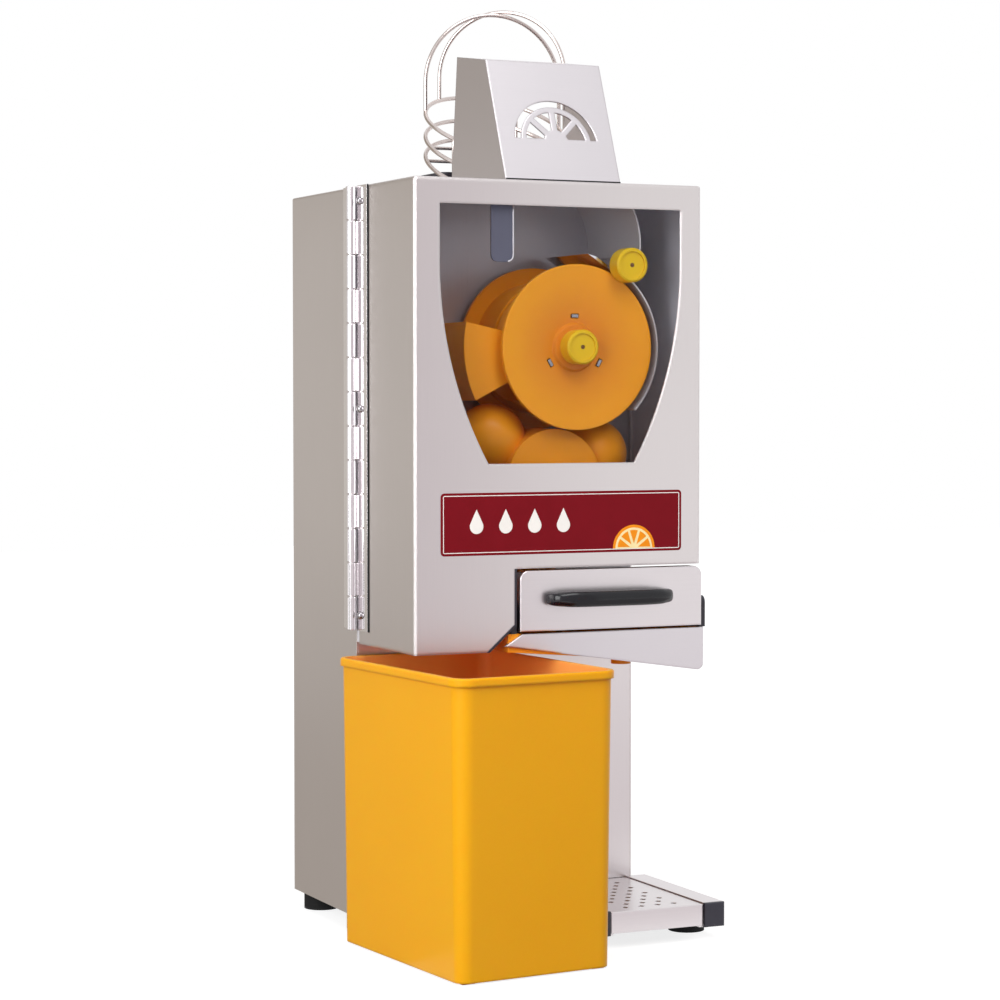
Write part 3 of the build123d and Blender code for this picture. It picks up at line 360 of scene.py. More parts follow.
@dataclass(frozen=True)
class Finish:
    """A surface finish: two close tones in fine grain and broad clouds, with a roughness range."""

    name: str
    tone: Colour
    shade: Colour
    smooth: float
    rough: float
    metallic: float = 0.0
    grain: float = 400.0
    grain_detail: float = 3.0
    brushed: Grain = Grain.EVEN
    cloud: float = 9.0
    cloud_detail: float = 2.0
    bump: float = 0.04
    depth: float = 0.0001
    edge: float = 0.0005
    coat: float = 0.0
    coat_rough: float = 0.08
    scatter: float = 0.0
    reach: float = 0.004
    specular: float = 0.5

    @functools.cache
    def material(self) -> bpy.types.Material:
        """Material of the finish, made once."""
        return self.build()

    def build(self) -> bpy.types.Material:
        """Lay out the nodes.

        Returns:
            The new material.
        """
        material, sheet = new_material(self.name)
        shader = sheet.add("ShaderNodeBsdfPrincipled", Metallic=self.metallic, Coat_Weight=self.coat,
                           Coat_Roughness=self.coat_rough, Subsurface_Weight=self.scatter,
                           Subsurface_Scale=self.reach, Specular_IOR_Level=self.specular)
        self.metal(sheet, shader.inputs["Metallic"])
        fine = sheet.noise(self.grain, self.grain_detail, self.brushed)
        sheet.link(self.colour(sheet, fine), shader.inputs["Base Color"])
        sheet.link(sheet.ramp(fine, *NOISE_SPAN, self.smooth, self.rough), shader.inputs["Roughness"])
        sheet.link(sheet.relief(fine, self.bump, self.depth, self.edge), shader.inputs["Normal"])
        sheet.close(shader.outputs["BSDF"])
        return material

    def metal(self, sheet: NodeSheet, target: Socket) -> None:
        """Leave the metal share as it is set; a zoned finish may vary it."""

    def colour(self, sheet: NodeSheet, fine: Socket) -> Socket:
        """Colour of the surface.

        Args:
            sheet: nodes that take it.
            fine: socket with the fine grain.

        Returns:
            The colour socket.
        """
        broad = sheet.noise(self.cloud, self.cloud_detail)
        both = sheet.math("MULTIPLY", sheet.math("ADD", fine, broad), 0.5)
        return sheet.tint(both, self.shade, self.tone)


@dataclass(frozen=True)
class ZonedFinish(Finish, ABC):
    """Finish with other tones, and perhaps another metal share, in one zone of the piece."""

    # The default zone tones are the bulkhead's painted shade inside the cover.
    zone_tone: Colour = (184, 180, 185)
    zone_shade: Colour = (179, 175, 180)
    zone_metallic: float = 0.0

    @abstractmethod
    def zone(self, sheet: NodeSheet) -> Socket:
        """Value that is 1 in the zone and 0 elsewhere."""

    def metal(self, sheet: NodeSheet, target: Socket) -> None:
        """Lead the metal share to its socket where the zone has its own."""
        if self.zone_metallic != self.metallic:
            sheet.link(sheet.ramp(self.zone(sheet), 0.0, 1.0, self.metallic, self.zone_metallic), target)

    def colour(self, sheet: NodeSheet, fine: Socket) -> Socket:
        """Colour of the surface, by its place."""
        own, other = super().colour(sheet, fine), sheet.tint(fine, self.zone_shade, self.zone_tone)
        return sheet.join("ShaderNodeMixRGB", self.zone(sheet), own, other)


@dataclass(frozen=True)
class WallSheet(ZonedFinish):
    """Sheet that is painted darker and less mirror-like above a height, in metres: painted shade for the
    inside of the cover.
    """

    line: float = 0.27
    soft: float = 0.01

    def zone(self, sheet: NodeSheet) -> Socket:
        """Value that rises from 0 to 1 round the height of the line."""
        return sheet.ramp(sheet.place()[2], self.line - self.soft, self.line + self.soft)


@dataclass(frozen=True)
class CoverSheet(ZonedFinish):
    """Sheet of the cover, paler and less mirror-like on its inside: painted light that brightens the shaded
    inner walls. Depth in metres.
    """

    skin: float = 0.0008

    def zone(self, sheet: NodeSheet) -> Socket:
        """Value that is 1 deeper in the cover than its skin.

        Args:
            sheet: nodes that take it.

        Returns:
            The socket, by the least depth from the left, front, right and top.
        """
        low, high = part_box("cover_shell")
        left, front, _ = sheet.place(low)
        past_right, _, past_top = sheet.place(high)
        right, top = [sheet.math("MULTIPLY", past, -1.0) for past in (past_right, past_top)]
        least = functools.partial(sheet.math, "MINIMUM")
        return sheet.math("GREATER_THAN", least(least(left, front), least(right, top)), self.skin)


@dataclass(frozen=True)
class ShadedTurnedFace(ZonedFinish):
    """Turned face painted darker towards its hub: painted shade for a dished face. Lengths in millimetres.
    """

    axis: Point2 = (0.0, 0.0)
    radii: Point2 = (0.0, 1.0)

    def zone(self, sheet: NodeSheet) -> Socket:
        """Value that falls from 1 at the hub to 0 at the rim.

        Args:
            sheet: nodes that take it.

        Returns:
            The socket, by the distance from the axis.
        """
        x, _, z = sheet.place(machine_point(self.axis[0], 0.0, self.axis[1]))
        hub, rim = [radius * MM for radius in self.radii]
        return sheet.ramp(sheet.length(x, z), hub, rim, 1.0, 0.0)


@dataclass(frozen=True)
class HollowBox(ZonedFinish):
    """Moulded box that is painted a brighter, deeper orange inside: painted light for the glow bounced round
    its inside. Lengths in millimetres, the turn in degrees.
    """

    middle: Point2 = (0.0, 0.0)
    turn: float = 0.0
    corner_half: Point2 = (0.0, 0.0)
    inner_radius: float = 1.0
    draft: float = 0.0

    def zone(self, sheet: NodeSheet) -> Socket:
        """Value that is 1 on the inside of the wall.

        Args:
            sheet: nodes that take it.

        Returns:
            The socket, by the distance from the box between the corners' middles.
        """
        x, y, z = sheet.place(machine_point(*self.middle, 0.0), self.turn)
        past = []
        for part, half in zip((x, y), self.corner_half):
            reach = sheet.math("SUBTRACT", sheet.math("ABSOLUTE", part), half * MM)
            past.append(sheet.math("MAXIMUM", reach, 0.0))
        limit = sheet.math("ADD", sheet.math("MULTIPLY", z, self.draft), self.inner_radius * MM)
        return sheet.math("LESS_THAN", sheet.length(*past), limit)


@dataclass(frozen=True)
class ClearSheet(Finish):
    """Clear plastic sheet: mostly see-through, with a reflection that grows at a glance."""

    bend: float = 1.12

    def build(self) -> bpy.types.Material:
        """Lay out the nodes.

        Returns:
            The new material.
        """
        material, sheet = new_material(self.name)
        fine = sheet.noise(self.grain, self.grain_detail, self.brushed)
        clear = sheet.join("ShaderNodeBsdfTransparent", sheet.tint(fine, self.shade, self.tone))
        gloss = sheet.add("ShaderNodeBsdfGlossy")
        sheet.link(sheet.ramp(fine, *NOISE_SPAN, self.smooth, self.rough), gloss.inputs["Roughness"])
        glance = sheet.add("ShaderNodeFresnel", IOR=self.bend).outputs["Fac"]
        sheet.close(sheet.join("ShaderNodeMixShader", glance, clear, gloss.outputs["BSDF"]))
        return material


SATIN = {"smooth": 0.28, "rough": 0.3, "metallic": 1.0, "grain": 1600.0, "bump": 0.001}
MOULDED = {"smooth": 0.28, "rough": 0.36, "grain": 60.0, "edge": 0.0012, "scatter": 0.1, "specular": 0.25}
PRINTED = {"smooth": 0.35, "rough": 0.45}

UPRIGHT_STEEL = Finish("satin_steel_upright", (217, 211, 211), (213, 207, 207), brushed=Grain.ALONG_Z,
                       **SATIN)
# Cover: paler inside, painted light for the inner walls that the lamps leave in shade.
COVER_STEEL = CoverSheet("satin_steel_cover", (217, 211, 211), (213, 207, 207), brushed=Grain.ALONG_Z,
                         edge=0.0035, zone_tone=(232, 229, 236), zone_shade=(228, 225, 232),
                         zone_metallic=0.1, **SATIN)
LEVEL_STEEL = Finish("satin_steel_level", (220, 214, 216), (216, 210, 212), brushed=Grain.ALONG_X,
                     edge=0.0012, **SATIN)
BENT_STEEL = Finish("satin_steel_bent", (214, 209, 213), (211, 206, 210), brushed=Grain.ALONG_X,
                    edge=0.002, **SATIN)
# Bulkhead: painted shade above the cover's bottom edge, darker and less mirror-like, standing in for the
# shade inside the cover.
WALL_STEEL = WallSheet("bulkhead_steel", (221, 215, 216), (217, 211, 212), brushed=Grain.ALONG_Z,
                       zone_metallic=0.3, **SATIN)
# Drip pan darker than its steel: painted shade, so that the grid's holes look dark.
PAN_STEEL = Finish("pan_steel", (66, 66, 71), (54, 54, 59), 0.4, 0.5, metallic=0.6, grain=300.0)
DULL_STEEL = Finish("dull_inner_steel", (120, 120, 126), (104, 104, 110), 0.34, 0.46, metallic=1.0,
                    grain=500.0)
BAND_STEEL = Finish("band_steel", (216, 212, 213), (206, 202, 203), 0.34, 0.42, metallic=0.35, grain=500.0)
BLUE_STEEL = Finish("gate_steel", (112, 112, 126), (106, 106, 120), 0.28, 0.36, metallic=1.0, grain=900.0,
                    brushed=Grain.ALONG_Z)
BRIGHT_STEEL = Finish("polished_steel", (232, 228, 230), (222, 218, 220), 0.1, 0.16, metallic=1.0,
                      grain=700.0)
SCREW_STEEL = Finish("screw_steel", (164, 160, 163), (146, 142, 146), 0.16, 0.24, metallic=1.0)
CHROME = Finish("chrome", (238, 234, 236), (230, 226, 228), 0.05, 0.08, metallic=1.0, grain=300.0)
WIRE = Finish("polished_wire", (216, 206, 203), (200, 188, 184), 0.14, 0.2, metallic=1.0, grain=200.0)
AMBER = Finish("amber_moulding", (250, 160, 32), (247, 155, 29), **MOULDED)
# Dish: darker amber round the hub, painted shade of its dished face.
DISH_AMBER = ShadedTurnedFace("turned_amber_hub_shade", (252, 166, 36), (249, 161, 32), zone_tone=(230, 136, 36),
                        zone_shade=(230, 136, 36), axis=CUP_AXIS, radii=(18.0, 62.0), **MOULDED)
# Bin: brighter, redder tone inside, painted light for light bounced round its inside.
BIN_YELLOW = HollowBox("bin_yellow", (236, 165, 12), (233, 160, 10), 0.28, 0.36, grain=900.0, bump=0.05,
                       edge=0.003, scatter=0.2, reach=0.02, specular=0.16, zone_tone=(255, 168, 84),
                       zone_shade=(255, 163, 80), middle=(-77.7, -119.66), turn=5.0,
                       corner_half=(63.5, 97.5), inner_radius=8.8, draft=0.0117)
KNOB_YELLOW = Finish("knob_yellow", (240, 198, 36), (234, 190, 31), 0.3, 0.42, grain=300.0, specular=0.25)
BLACK = Finish("matt_black_plastic", (40, 38, 48), (32, 30, 40), 0.4, 0.52, grain=700.0)
CAP_BLACK = Finish("cap_black_plastic", (42, 40, 53), (35, 33, 45), 0.36, 0.46, grain=700.0, edge=0.0015)
GLOSS_BLACK = Finish("gloss_black_plastic", (24, 24, 29), (18, 18, 22), 0.12, 0.2, grain=300.0,
                     specular=0.35)
RUBBER = Finish("black_rubber", (26, 26, 27), (18, 18, 19), 0.65, 0.8, grain=500.0, bump=0.2, specular=0.25)
SEAL_GREY = Finish("grey_seal", (206, 204, 208), (197, 195, 199), 0.6, 0.75, grain=500.0, bump=0.1,
                   specular=0.25)
BRONZE = Finish("turned_bronze", (176, 138, 84), (156, 118, 68), 0.3, 0.42, metallic=1.0, grain=300.0)
CAST = Finish("cast_alloy", (160, 162, 166), (142, 144, 148), 0.45, 0.6, metallic=0.9, grain=240.0,
              bump=0.25)
MOTOR_PAINT = Finish("motor_paint", (62, 66, 74), (52, 56, 64), 0.4, 0.52, grain=200.0)
GEAR_PLASTIC = Finish("natural_gear_plastic", (222, 218, 204), (208, 202, 186), 0.42, 0.55, grain=150.0)
SWITCH_GREEN = Finish("switch_green", (40, 130, 62), (32, 116, 52), 0.28, 0.36, grain=200.0, coat=0.3)
PANE = ClearSheet("window_sheet", (253, 254, 255), (250, 251, 253), 0.01, 0.03, grain=6.0, grain_detail=2.0)
LABEL_RED = Finish("label_red", (122, 9, 24), (114, 7, 20), 0.34, 0.44, grain=60.0, specular=0.12)
LABEL_WHITE = Finish("label_white", (246, 242, 238), (238, 234, 230), grain=60.0, specular=0.2, **PRINTED)
LABEL_ORANGE = Finish("label_orange", (246, 150, 24), (236, 132, 16), grain=160.0, specular=0.15, **PRINTED)
LABEL_PITH = Finish("label_pith", (252, 232, 176), (248, 222, 160), grain=160.0, specular=0.15, **PRINTED)
RIVET_BROWN = Finish("rivet_brown", (120, 78, 26), (100, 62, 18), grain=600.0, **PRINTED)


class Workpiece:
    """Mesh under construction, in the frame's own place. Sizes in millimetres."""

    def __init__(self, name: str) -> None:
        """Start an empty mesh."""
        self.name = name
        self.shape = bmesh.new()

    def row(self, points: list[Vector]) -> list[bmesh.types.BMVert]:
        """Add a row of vertices."""
        return [self.shape.verts.new(point) for point in points]

    def ring(self, middle: Vector, across: Vector, ahead: Vector, radius: float,
             sides: int) -> list[bmesh.types.BMVert]:
        """Add a round row of vertices.

        Args:
            middle: middle of the row.
            across: direction of its first vertex.
            ahead: direction square to the row.
            radius: its radius.
            sides: number of vertices.

        Returns:
            The vertices in order.
        """
        other = ahead.cross(across)
        turns = [2 * math.pi * k / sides for k in range(sides)]
        return self.row([middle + (across * math.cos(t) + other * math.sin(t)) * radius * MM for t in turns])

    def skin(self, rows: list[list[bmesh.types.BMVert]], closed: bool = True) -> None:
        """Join rows of vertices.

        Args:
            rows: rows of equal length.
            closed: whether the ends get a face.
        """
        for first, second in zip(rows, rows[1:]):
            for k in range(len(first)):
                after = (k + 1) % len(first)
                self.shape.faces.new((first[k], first[after], second[after], second[k]))
        if closed:
            self.shape.faces.new(rows[0])
            self.shape.faces.new(rows[-1])

    def tube(self, path: list[Vector], radius: float, sides: int) -> None:
        """Add a round bar along a path.

        Args:
            path: points along its middle.
            radius: its radius.
            sides: number of sides.
        """
        rows = []
        across = None
        for i, point in enumerate(path):
            ahead = (path[min(i + 1, len(path) - 1)] - path[max(i - 1, 0)]).normalized()
            across = ahead.orthogonal() if across is None else across
            across = (across - ahead * across.dot(ahead)).normalized()
            rows.append(self.ring(point, across, ahead, radius, sides))
        self.skin(rows)

    def turned(self, base: Vector, out: Triple, profile: list[Point2], sides: int) -> None:
        """Add a turned form.

        Args:
            base: point on its axis.
            out: direction of its axis.
            profile: radius and height of each row.
            sides: number of sides.
        """
        ahead = Vector(out)
        across = ahead.orthogonal().normalized()
        rows = [self.ring(base + ahead * up * MM, across, ahead, radius, sides) for radius, up in profile]
        self.skin(rows)

    def prism(self, front: list[Vector], run: Triple) -> None:
        """Add a flat shape with straight sides, from the points of its front and the way to its back."""
        back = [point + Vector(run) * MM for point in front]
        self.skin([self.row(front), self.row(back)])

    def block(self, across: Point2, away: Point2, up: Point2) -> None:
        """Add a block between two places across, away from the user and up the machine."""
        corners = [(across[0], away[0]), (across[0], away[1]), (across[1], away[1]), (across[1], away[0])]
        self.prism([machine_point(x, y, up[0]) for x, y in corners], (0.0, 0.0, up[1] - up[0]))

    def plate(self, outline: list[Point2], front: float, depth: float) -> None:
        """Add a flat shape that faces the user, from its outline, the place of its front and its depth."""
        self.prism([machine_point(x, front, z) for x, z in outline], (0.0, depth, 0.0))

    def finish(self, body: Body, finish: Finish, slot: Slot, round_angle: float = 30.0) -> bpy.types.Object:
        """Make the object, dress it and put it on a body of the frame.

        Args:
            body: body that carries it.
            finish: finish it wears.
            slot: material slot of the record that it goes with; not used.
            round_angle: faces that meet at less than this angle are shaded round, in degrees.

        Returns:
            The new object.
        """
        bmesh.ops.recalc_face_normals(self.shape, faces=self.shape.faces)
        limit = math.radians(round_angle)
        for edge in self.shape.edges:
            edge.smooth = len(edge.link_faces) == 2 and edge.calc_face_angle() < limit
        for face in self.shape.faces:
            face.smooth = True
        mesh = bpy.data.meshes.new(self.name)
        self.shape.to_mesh(mesh)
        self.shape.free()
        mesh.materials.append(finish.material())
        piece = bpy.data.objects.new(self.name, mesh)
        bpy.context.scene.collection.objects.link(piece)
        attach(piece, body.value)
        LOG.info("piece %s on %s, %d faces", self.name, body.value, len(mesh.polygons))
        return piece


@dataclass
class SubAssembly:
    """Group of CAD nodes that are dressed together."""

    finishes: ClassVar[dict[str, Finish]] = {}

    def dress(self) -> None:
        """Give each CAD node of the group its finish."""
        for name, finish in self.finishes.items():
            node = frame["nodes"][name]
            node.data.materials.clear()
            node.data.materials.append(finish.material())
            LOG.info("node %s wears %s", name, finish.name)

    def add_pieces(self) -> None:
        """Add the group's own pieces."""

    def build(self) -> None:
        """Dress the nodes, then add the pieces."""
        self.dress()
        self.add_pieces()


@dataclass
class Cabinet(SubAssembly):
    """Rear cabinet with its back panel, bulkhead and feet. Sizes in millimetres."""

    screw_radius: float = 3.4
    screw_height: float = 1.5
    screw_margin: float = 9.0
    screw_sides: int = 18

    finishes: ClassVar[dict[str, Finish]] = {
        "cabinet_shell": UPRIGHT_STEEL, "back_panel": UPRIGHT_STEEL, "bulkhead": WALL_STEEL,
        "base_plate": DULL_STEEL, "cabinet_feet": RUBBER,
    }

    def add_pieces(self) -> None:
        """Put domed screws round the back panel."""
        low, high = machine_box("back_panel")
        head = dome(self.screw_radius, self.screw_height)
        screws = Workpiece("back_panel_screws")
        for x in (low.x + self.screw_margin, high.x - self.screw_margin):
            for z in (low.z + self.screw_margin, (low.z + high.z) / 2, high.z - self.screw_margin):
                screws.turned(machine_point(x, high.y, z), (0.0, 1.0, 0.0), head, self.screw_sides)
        screws.finish(Body.CABINET, SCREW_STEEL, Slot.SHEET)


@dataclass
class PianoHinge(SubAssembly):
    """Long hinge with round knuckles over the plain CAD leaves. Sizes in millimetres."""

    length: float = 400.0
    knuckles: int = 13
    barrel_radius: float = 4.75
    barrel_sides: int = 20
    barrel_gap: float = 0.25
    knuckle_gap: float = 0.9
    knuckle_round: float = 0.5
    leaf_width: float = 28.0
    leaf_thickness: float = 1.2
    leaf_relief: float = 0.8
    screw_radius: float = 3.6
    screw_height: float = 3.2
    screw_inset: float = 12.0
    screw_places: tuple[float, ...] = (0.035, 0.5, 0.965)
    screw_sides: int = 16
    # Width and lift of the dark strip that paints the shadow beside the cover's leaf.
    shadow_width: float = 1.8
    shadow_lift: float = 0.6

    finishes: ClassVar[dict[str, Finish]] = {"hinge_pin": CHROME}

    def add_leaf(self, node: str, body: Body, side: int, first: int) -> None:
        """Add one leaf with every second knuckle and its screws.

        Args:
            node: CAD node that it stands for.
            body: body that carries it.
            side: 1 on the cabinet, -1 on the cover.
            first: number of its lowest knuckle.
        """
        low, high = machine_box(node)
        across = (-HALF_WIDTH - self.leaf_thickness, -HALF_WIDTH)
        near, far = side * (self.barrel_radius + self.leaf_relief), side * self.leaf_width
        leaf = Workpiece(f"{node}_dressed")
        leaf.block(across, (near, far), (low.z, high.z))
        axis_x = -HALF_WIDTH - self.barrel_radius - self.barrel_gap
        pitch = self.length / self.knuckles
        rise, radius, soft = pitch - self.knuckle_gap, self.barrel_radius, self.knuckle_round
        profile = [(radius - soft, 0.0), (radius, soft), (radius, rise - soft), (radius - soft, rise)]
        for i in range(first, self.knuckles, 2):
            start = low.z + i * pitch + self.knuckle_gap / 2
            leaf.turned(machine_point(axis_x, 0.0, start), (0.0, 0.0, 1.0), profile, self.barrel_sides)
            leaf.block(across, (0.0, near), (start, start + rise))
        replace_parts(leaf.finish(body, CHROME, Slot.SHEET), node)
        screws = Workpiece(f"{node}_screws")
        head = dome(self.screw_radius, self.screw_height)
        for share in self.screw_places:
            place = machine_point(across[0], side * self.screw_inset, low.z + share * self.length)
            screws.turned(place, (-1.0, 0.0, 0.0), head, self.screw_sides)
        screws.finish(body, SCREW_STEEL, Slot.SHEET)

    def add_shadow_strip(self) -> None:
        """Lay a thin dark strip along the front edge of the cover's leaf: painted shadow of the gap beside
        the leaf.
        """
        low, high = machine_box("cover_hinge_leaf")
        dark_strip = Workpiece("hinge_leaf_shadow")
        dark_strip.block((-HALF_WIDTH - self.shadow_lift, -HALF_WIDTH),
                   (-self.leaf_width, -self.leaf_width - self.shadow_width), (low.z, high.z))
        dark_strip.finish(Body.COVER, RUBBER, Slot.RUBBER)

    def add_pieces(self) -> None:
        """Add both leaves and the painted shadow strip."""
        self.add_leaf("cabinet_hinge_leaf", Body.CABINET, 1, 0)
        self.add_leaf("cover_hinge_leaf", Body.COVER, -1, 1)
        self.add_shadow_strip()


@dataclass
class FrontCover(SubAssembly):
    """Bent cover with its window, hood, edge strip and seal. Sizes in millimetres."""

    strip_width: float = 1.8
    strip_lift: float = 0.7
    chin_x: float = -69.0
    chin_run: float = 25.0
    chin_rise: float = 22.0
    cut_x: float = -43.0
    cut_top: float = 339.0
    bottom: float = 266.5
    back: float = -6.0
    seal_width: float = 4.5
    seal_depth: float = 5.2
    left_seal_bottom: float = 268.0
    right_seal_bottom: float = 346.0
    seal_top: float = 677.0
    gate_right: float = -33.0
    gate_bottom: float = 608.0
    gate_top: float = 677.0
    gate_front: float = -106.0
    gate_corner: float = 6.0
    gate_steps: int = 6
    gate_edge: float = 1.3
    gate_edge_lift: float = 0.2
    hood_seam: float = 1.1
    hood_seam_lift: float = 0.5

    finishes: ClassVar[dict[str, Finish]] = {
        "cover_shell": COVER_STEEL, "window_pane": PANE, "feed_hood": BENT_STEEL,
        "gate_plate": BLUE_STEEL, "cover_magnet": BLACK,
    }

    def add_strip(self) -> None:
        """Lay a black strip along the cut edge beside the drawer."""
        knee = self.bottom + self.chin_rise
        slope = math.atan2(self.chin_rise, self.chin_run)
        width = self.strip_width
        start_x = self.chin_x - width / math.sin(slope)
        bend_x = self.chin_x + self.chin_run - width * (1 - math.cos(slope)) / math.sin(slope)
        outline = [
            (self.chin_x, self.bottom), (self.chin_x + self.chin_run, knee), (self.cut_x, knee),
            (self.cut_x, self.cut_top), (self.cut_x - width, self.cut_top),
            (self.cut_x - width, knee + width), (bend_x, knee + width), (start_x, self.bottom),
        ]
        strip = Workpiece("cover_edge_strip")
        strip.plate(outline, COVER_FRONT - self.strip_lift, self.strip_lift)
        strip.finish(Body.COVER, BLACK, Slot.BLACK)

    def add_hood_seam(self) -> None:
        """Draw the dark seam where the hood's front meets the cover."""
        low, high = machine_box("feed_hood")
        dark_strip = Workpiece("hood_seam")
        dark_strip.block((low.x, high.x), (low.y - self.hood_seam_lift, low.y), (low.z, low.z + self.hood_seam))
        dark_strip.finish(Body.COVER, RUBBER, Slot.RUBBER)

    def add_seal(self) -> None:
        """Put a soft seal on both rear edges, towards the cabinet."""
        seal = Workpiece("cover_seal")
        for side, bottom in ((-1, self.left_seal_bottom), (1, self.right_seal_bottom)):
            across = (side * (HALF_WIDTH - self.seal_width), side * HALF_WIDTH)
            seal.block(across, (self.back, self.back + self.seal_depth), (bottom, self.seal_top))
        seal.finish(Body.COVER, SEAL_GREY, Slot.RUBBER)

    def add_gate_edge(self) -> None:
        """Bring out the ground right edge of the gate plate."""
        right, corner, width = self.gate_right, self.gate_corner, self.gate_edge
        middle = (right - corner, self.gate_bottom + corner)
        outline = arc(middle, corner, -90.0, 0.0, self.gate_steps)
        outline += [(right, self.gate_top), (right - width, self.gate_top)]
        outline += arc(middle, corner - width, 0.0, -90.0, self.gate_steps)
        edge = Workpiece("gate_ground_edge")
        edge.plate(outline, self.gate_front - self.gate_edge_lift, self.gate_edge_lift)
        edge.finish(Body.COVER, BRIGHT_STEEL, Slot.SHEET)

    def add_pieces(self) -> None:
        """Add the strip, the seam, the seal and the gate's edge."""
        self.add_strip()
        self.add_hood_seam()
        self.add_seal()
        self.add_gate_edge()


@dataclass
class CoverLabel(SubAssembly):
    """Label on the cover: a plain citrus motif without words. Sizes in millimetres, angles in degrees."""

    width: float = 236.0
    height: float = 54.5
    left: float = -115.5
    bottom: float = 351.5
    corner: float = 3.5
    least_corner: float = 0.5
    corner_steps: int = 6
    thickness: float = 0.25
    ink: float = 0.04
    border_inset: float = 2.2
    border_width: float = 0.7
    slice_radius: float = 21.0
    slice_x: float = 188.0
    slice_steps: int = 30
    pith_share: float = 0.88
    segment_count: int = 5
    segment_gap: float = 4.0
    segment_shares: Point2 = (0.2, 0.78)
    segment_steps: int = 6
    drop_xs: tuple[float, ...] = (34.0, 62.0, 90.0, 118.0)
    drop_radius: float = 6.5
    drop_sink: float = 2.0
    drop_arc: Point2 = (150.0, 390.0)
    drop_steps: int = 24
    drop_top: float = 2.3

    def on_cover(self, outline: list[Point2]) -> list[Point2]:
        """Places on the cover of points given from the label's lower left corner."""
        return [(self.left + x, self.bottom + y) for x, y in outline]

    def rounded(self, inset: float) -> list[Point2]:
        """Outline of the label, drawn in by an inset.

        Args:
            inset: distance from the label's edge.

        Returns:
            Points round the outline.
        """
        radius = max(self.corner - inset, self.least_corner)
        near, far_x, far_y = inset + radius, self.width - inset - radius, self.height - inset - radius
        points = []
        for x, y, start in ((far_x, near, 270), (far_x, far_y, 0), (near, far_y, 90), (near, near, 180)):
            points += arc((x, y), radius, start, start + 90, self.corner_steps)
        return points

    def slice_middle(self) -> Point2:
        """Middle of the half slice, on the label's lower border."""
        return (self.slice_x, self.border_inset + self.border_width)

    def half_disc(self, radius: float) -> list[Point2]:
        """Half disc of the slice."""
        return arc(self.slice_middle(), radius, 0.0, 180.0, self.slice_steps)

    def segment(self, index: int) -> list[Point2]:
        """One fruit segment of the half slice.

        Args:
            index: segment counted from the right.

        Returns:
            Points round the segment.
        """
        span = 180 / self.segment_count
        start, end = span * index + self.segment_gap, span * (index + 1) - self.segment_gap
        near, far = [self.slice_radius * share for share in self.segment_shares]
        tip = polar(self.slice_middle(), near, (start + end) / 2)
        return [tip, *arc(self.slice_middle(), far, start, end, self.segment_steps)]

    def drop(self, x: float) -> list[Point2]:
        """Juice drop with a round foot and a pointed top."""
        y, radius = self.height / 2 - self.drop_sink, self.drop_radius
        return [*arc((x, y), radius, *self.drop_arc, self.drop_steps), (x, y + self.drop_top * radius)]

    def add_border(self) -> None:
        """Print the thin border line as a closed strip."""
        piece = Workpiece("label_border")
        front = COVER_FRONT - self.thickness - self.ink
        rows = []
        for inset in (self.border_inset, self.border_inset + self.border_width):
            outline = self.on_cover(self.rounded(inset))
            rows.append(piece.row([machine_point(x, front, z) for x, z in outline]))
        piece.skin(rows, closed=False)
        piece.finish(Body.COVER, LABEL_WHITE, Slot.YELLOW)

    def add_patch(self, name: str, outlines: list[list[Point2]], level: int, finish: Finish) -> None:
        """Add flat shapes at one level of the print.

        Args:
            name: name of the piece.
            outlines: points round each shape.
            level: layer of the print above the sheet.
            finish: ink of the shapes.
        """
        lift = self.thickness + self.ink * level
        piece = Workpiece(name)
        for outline in outlines:
            piece.plate(self.on_cover(outline), COVER_FRONT - lift, lift)
        piece.finish(Body.COVER, finish, Slot.YELLOW)

    def add_pieces(self) -> None:
        """Build the sheet and its print."""
        rind, pith = [self.half_disc(self.slice_radius * share) for share in (1.0, self.pith_share)]
        segments = [self.segment(i) for i in range(self.segment_count)]
        self.add_patch("label_sheet", [self.rounded(0.0)], 0, LABEL_RED)
        self.add_border()
        self.add_patch("label_rind", [rind], 1, LABEL_ORANGE)
        self.add_patch("label_pith", [pith], 2, LABEL_PITH)
        self.add_patch("label_segments", segments, 3, LABEL_ORANGE)
        self.add_patch("label_drops", [self.drop(x) for x in self.drop_xs], 1, LABEL_WHITE)


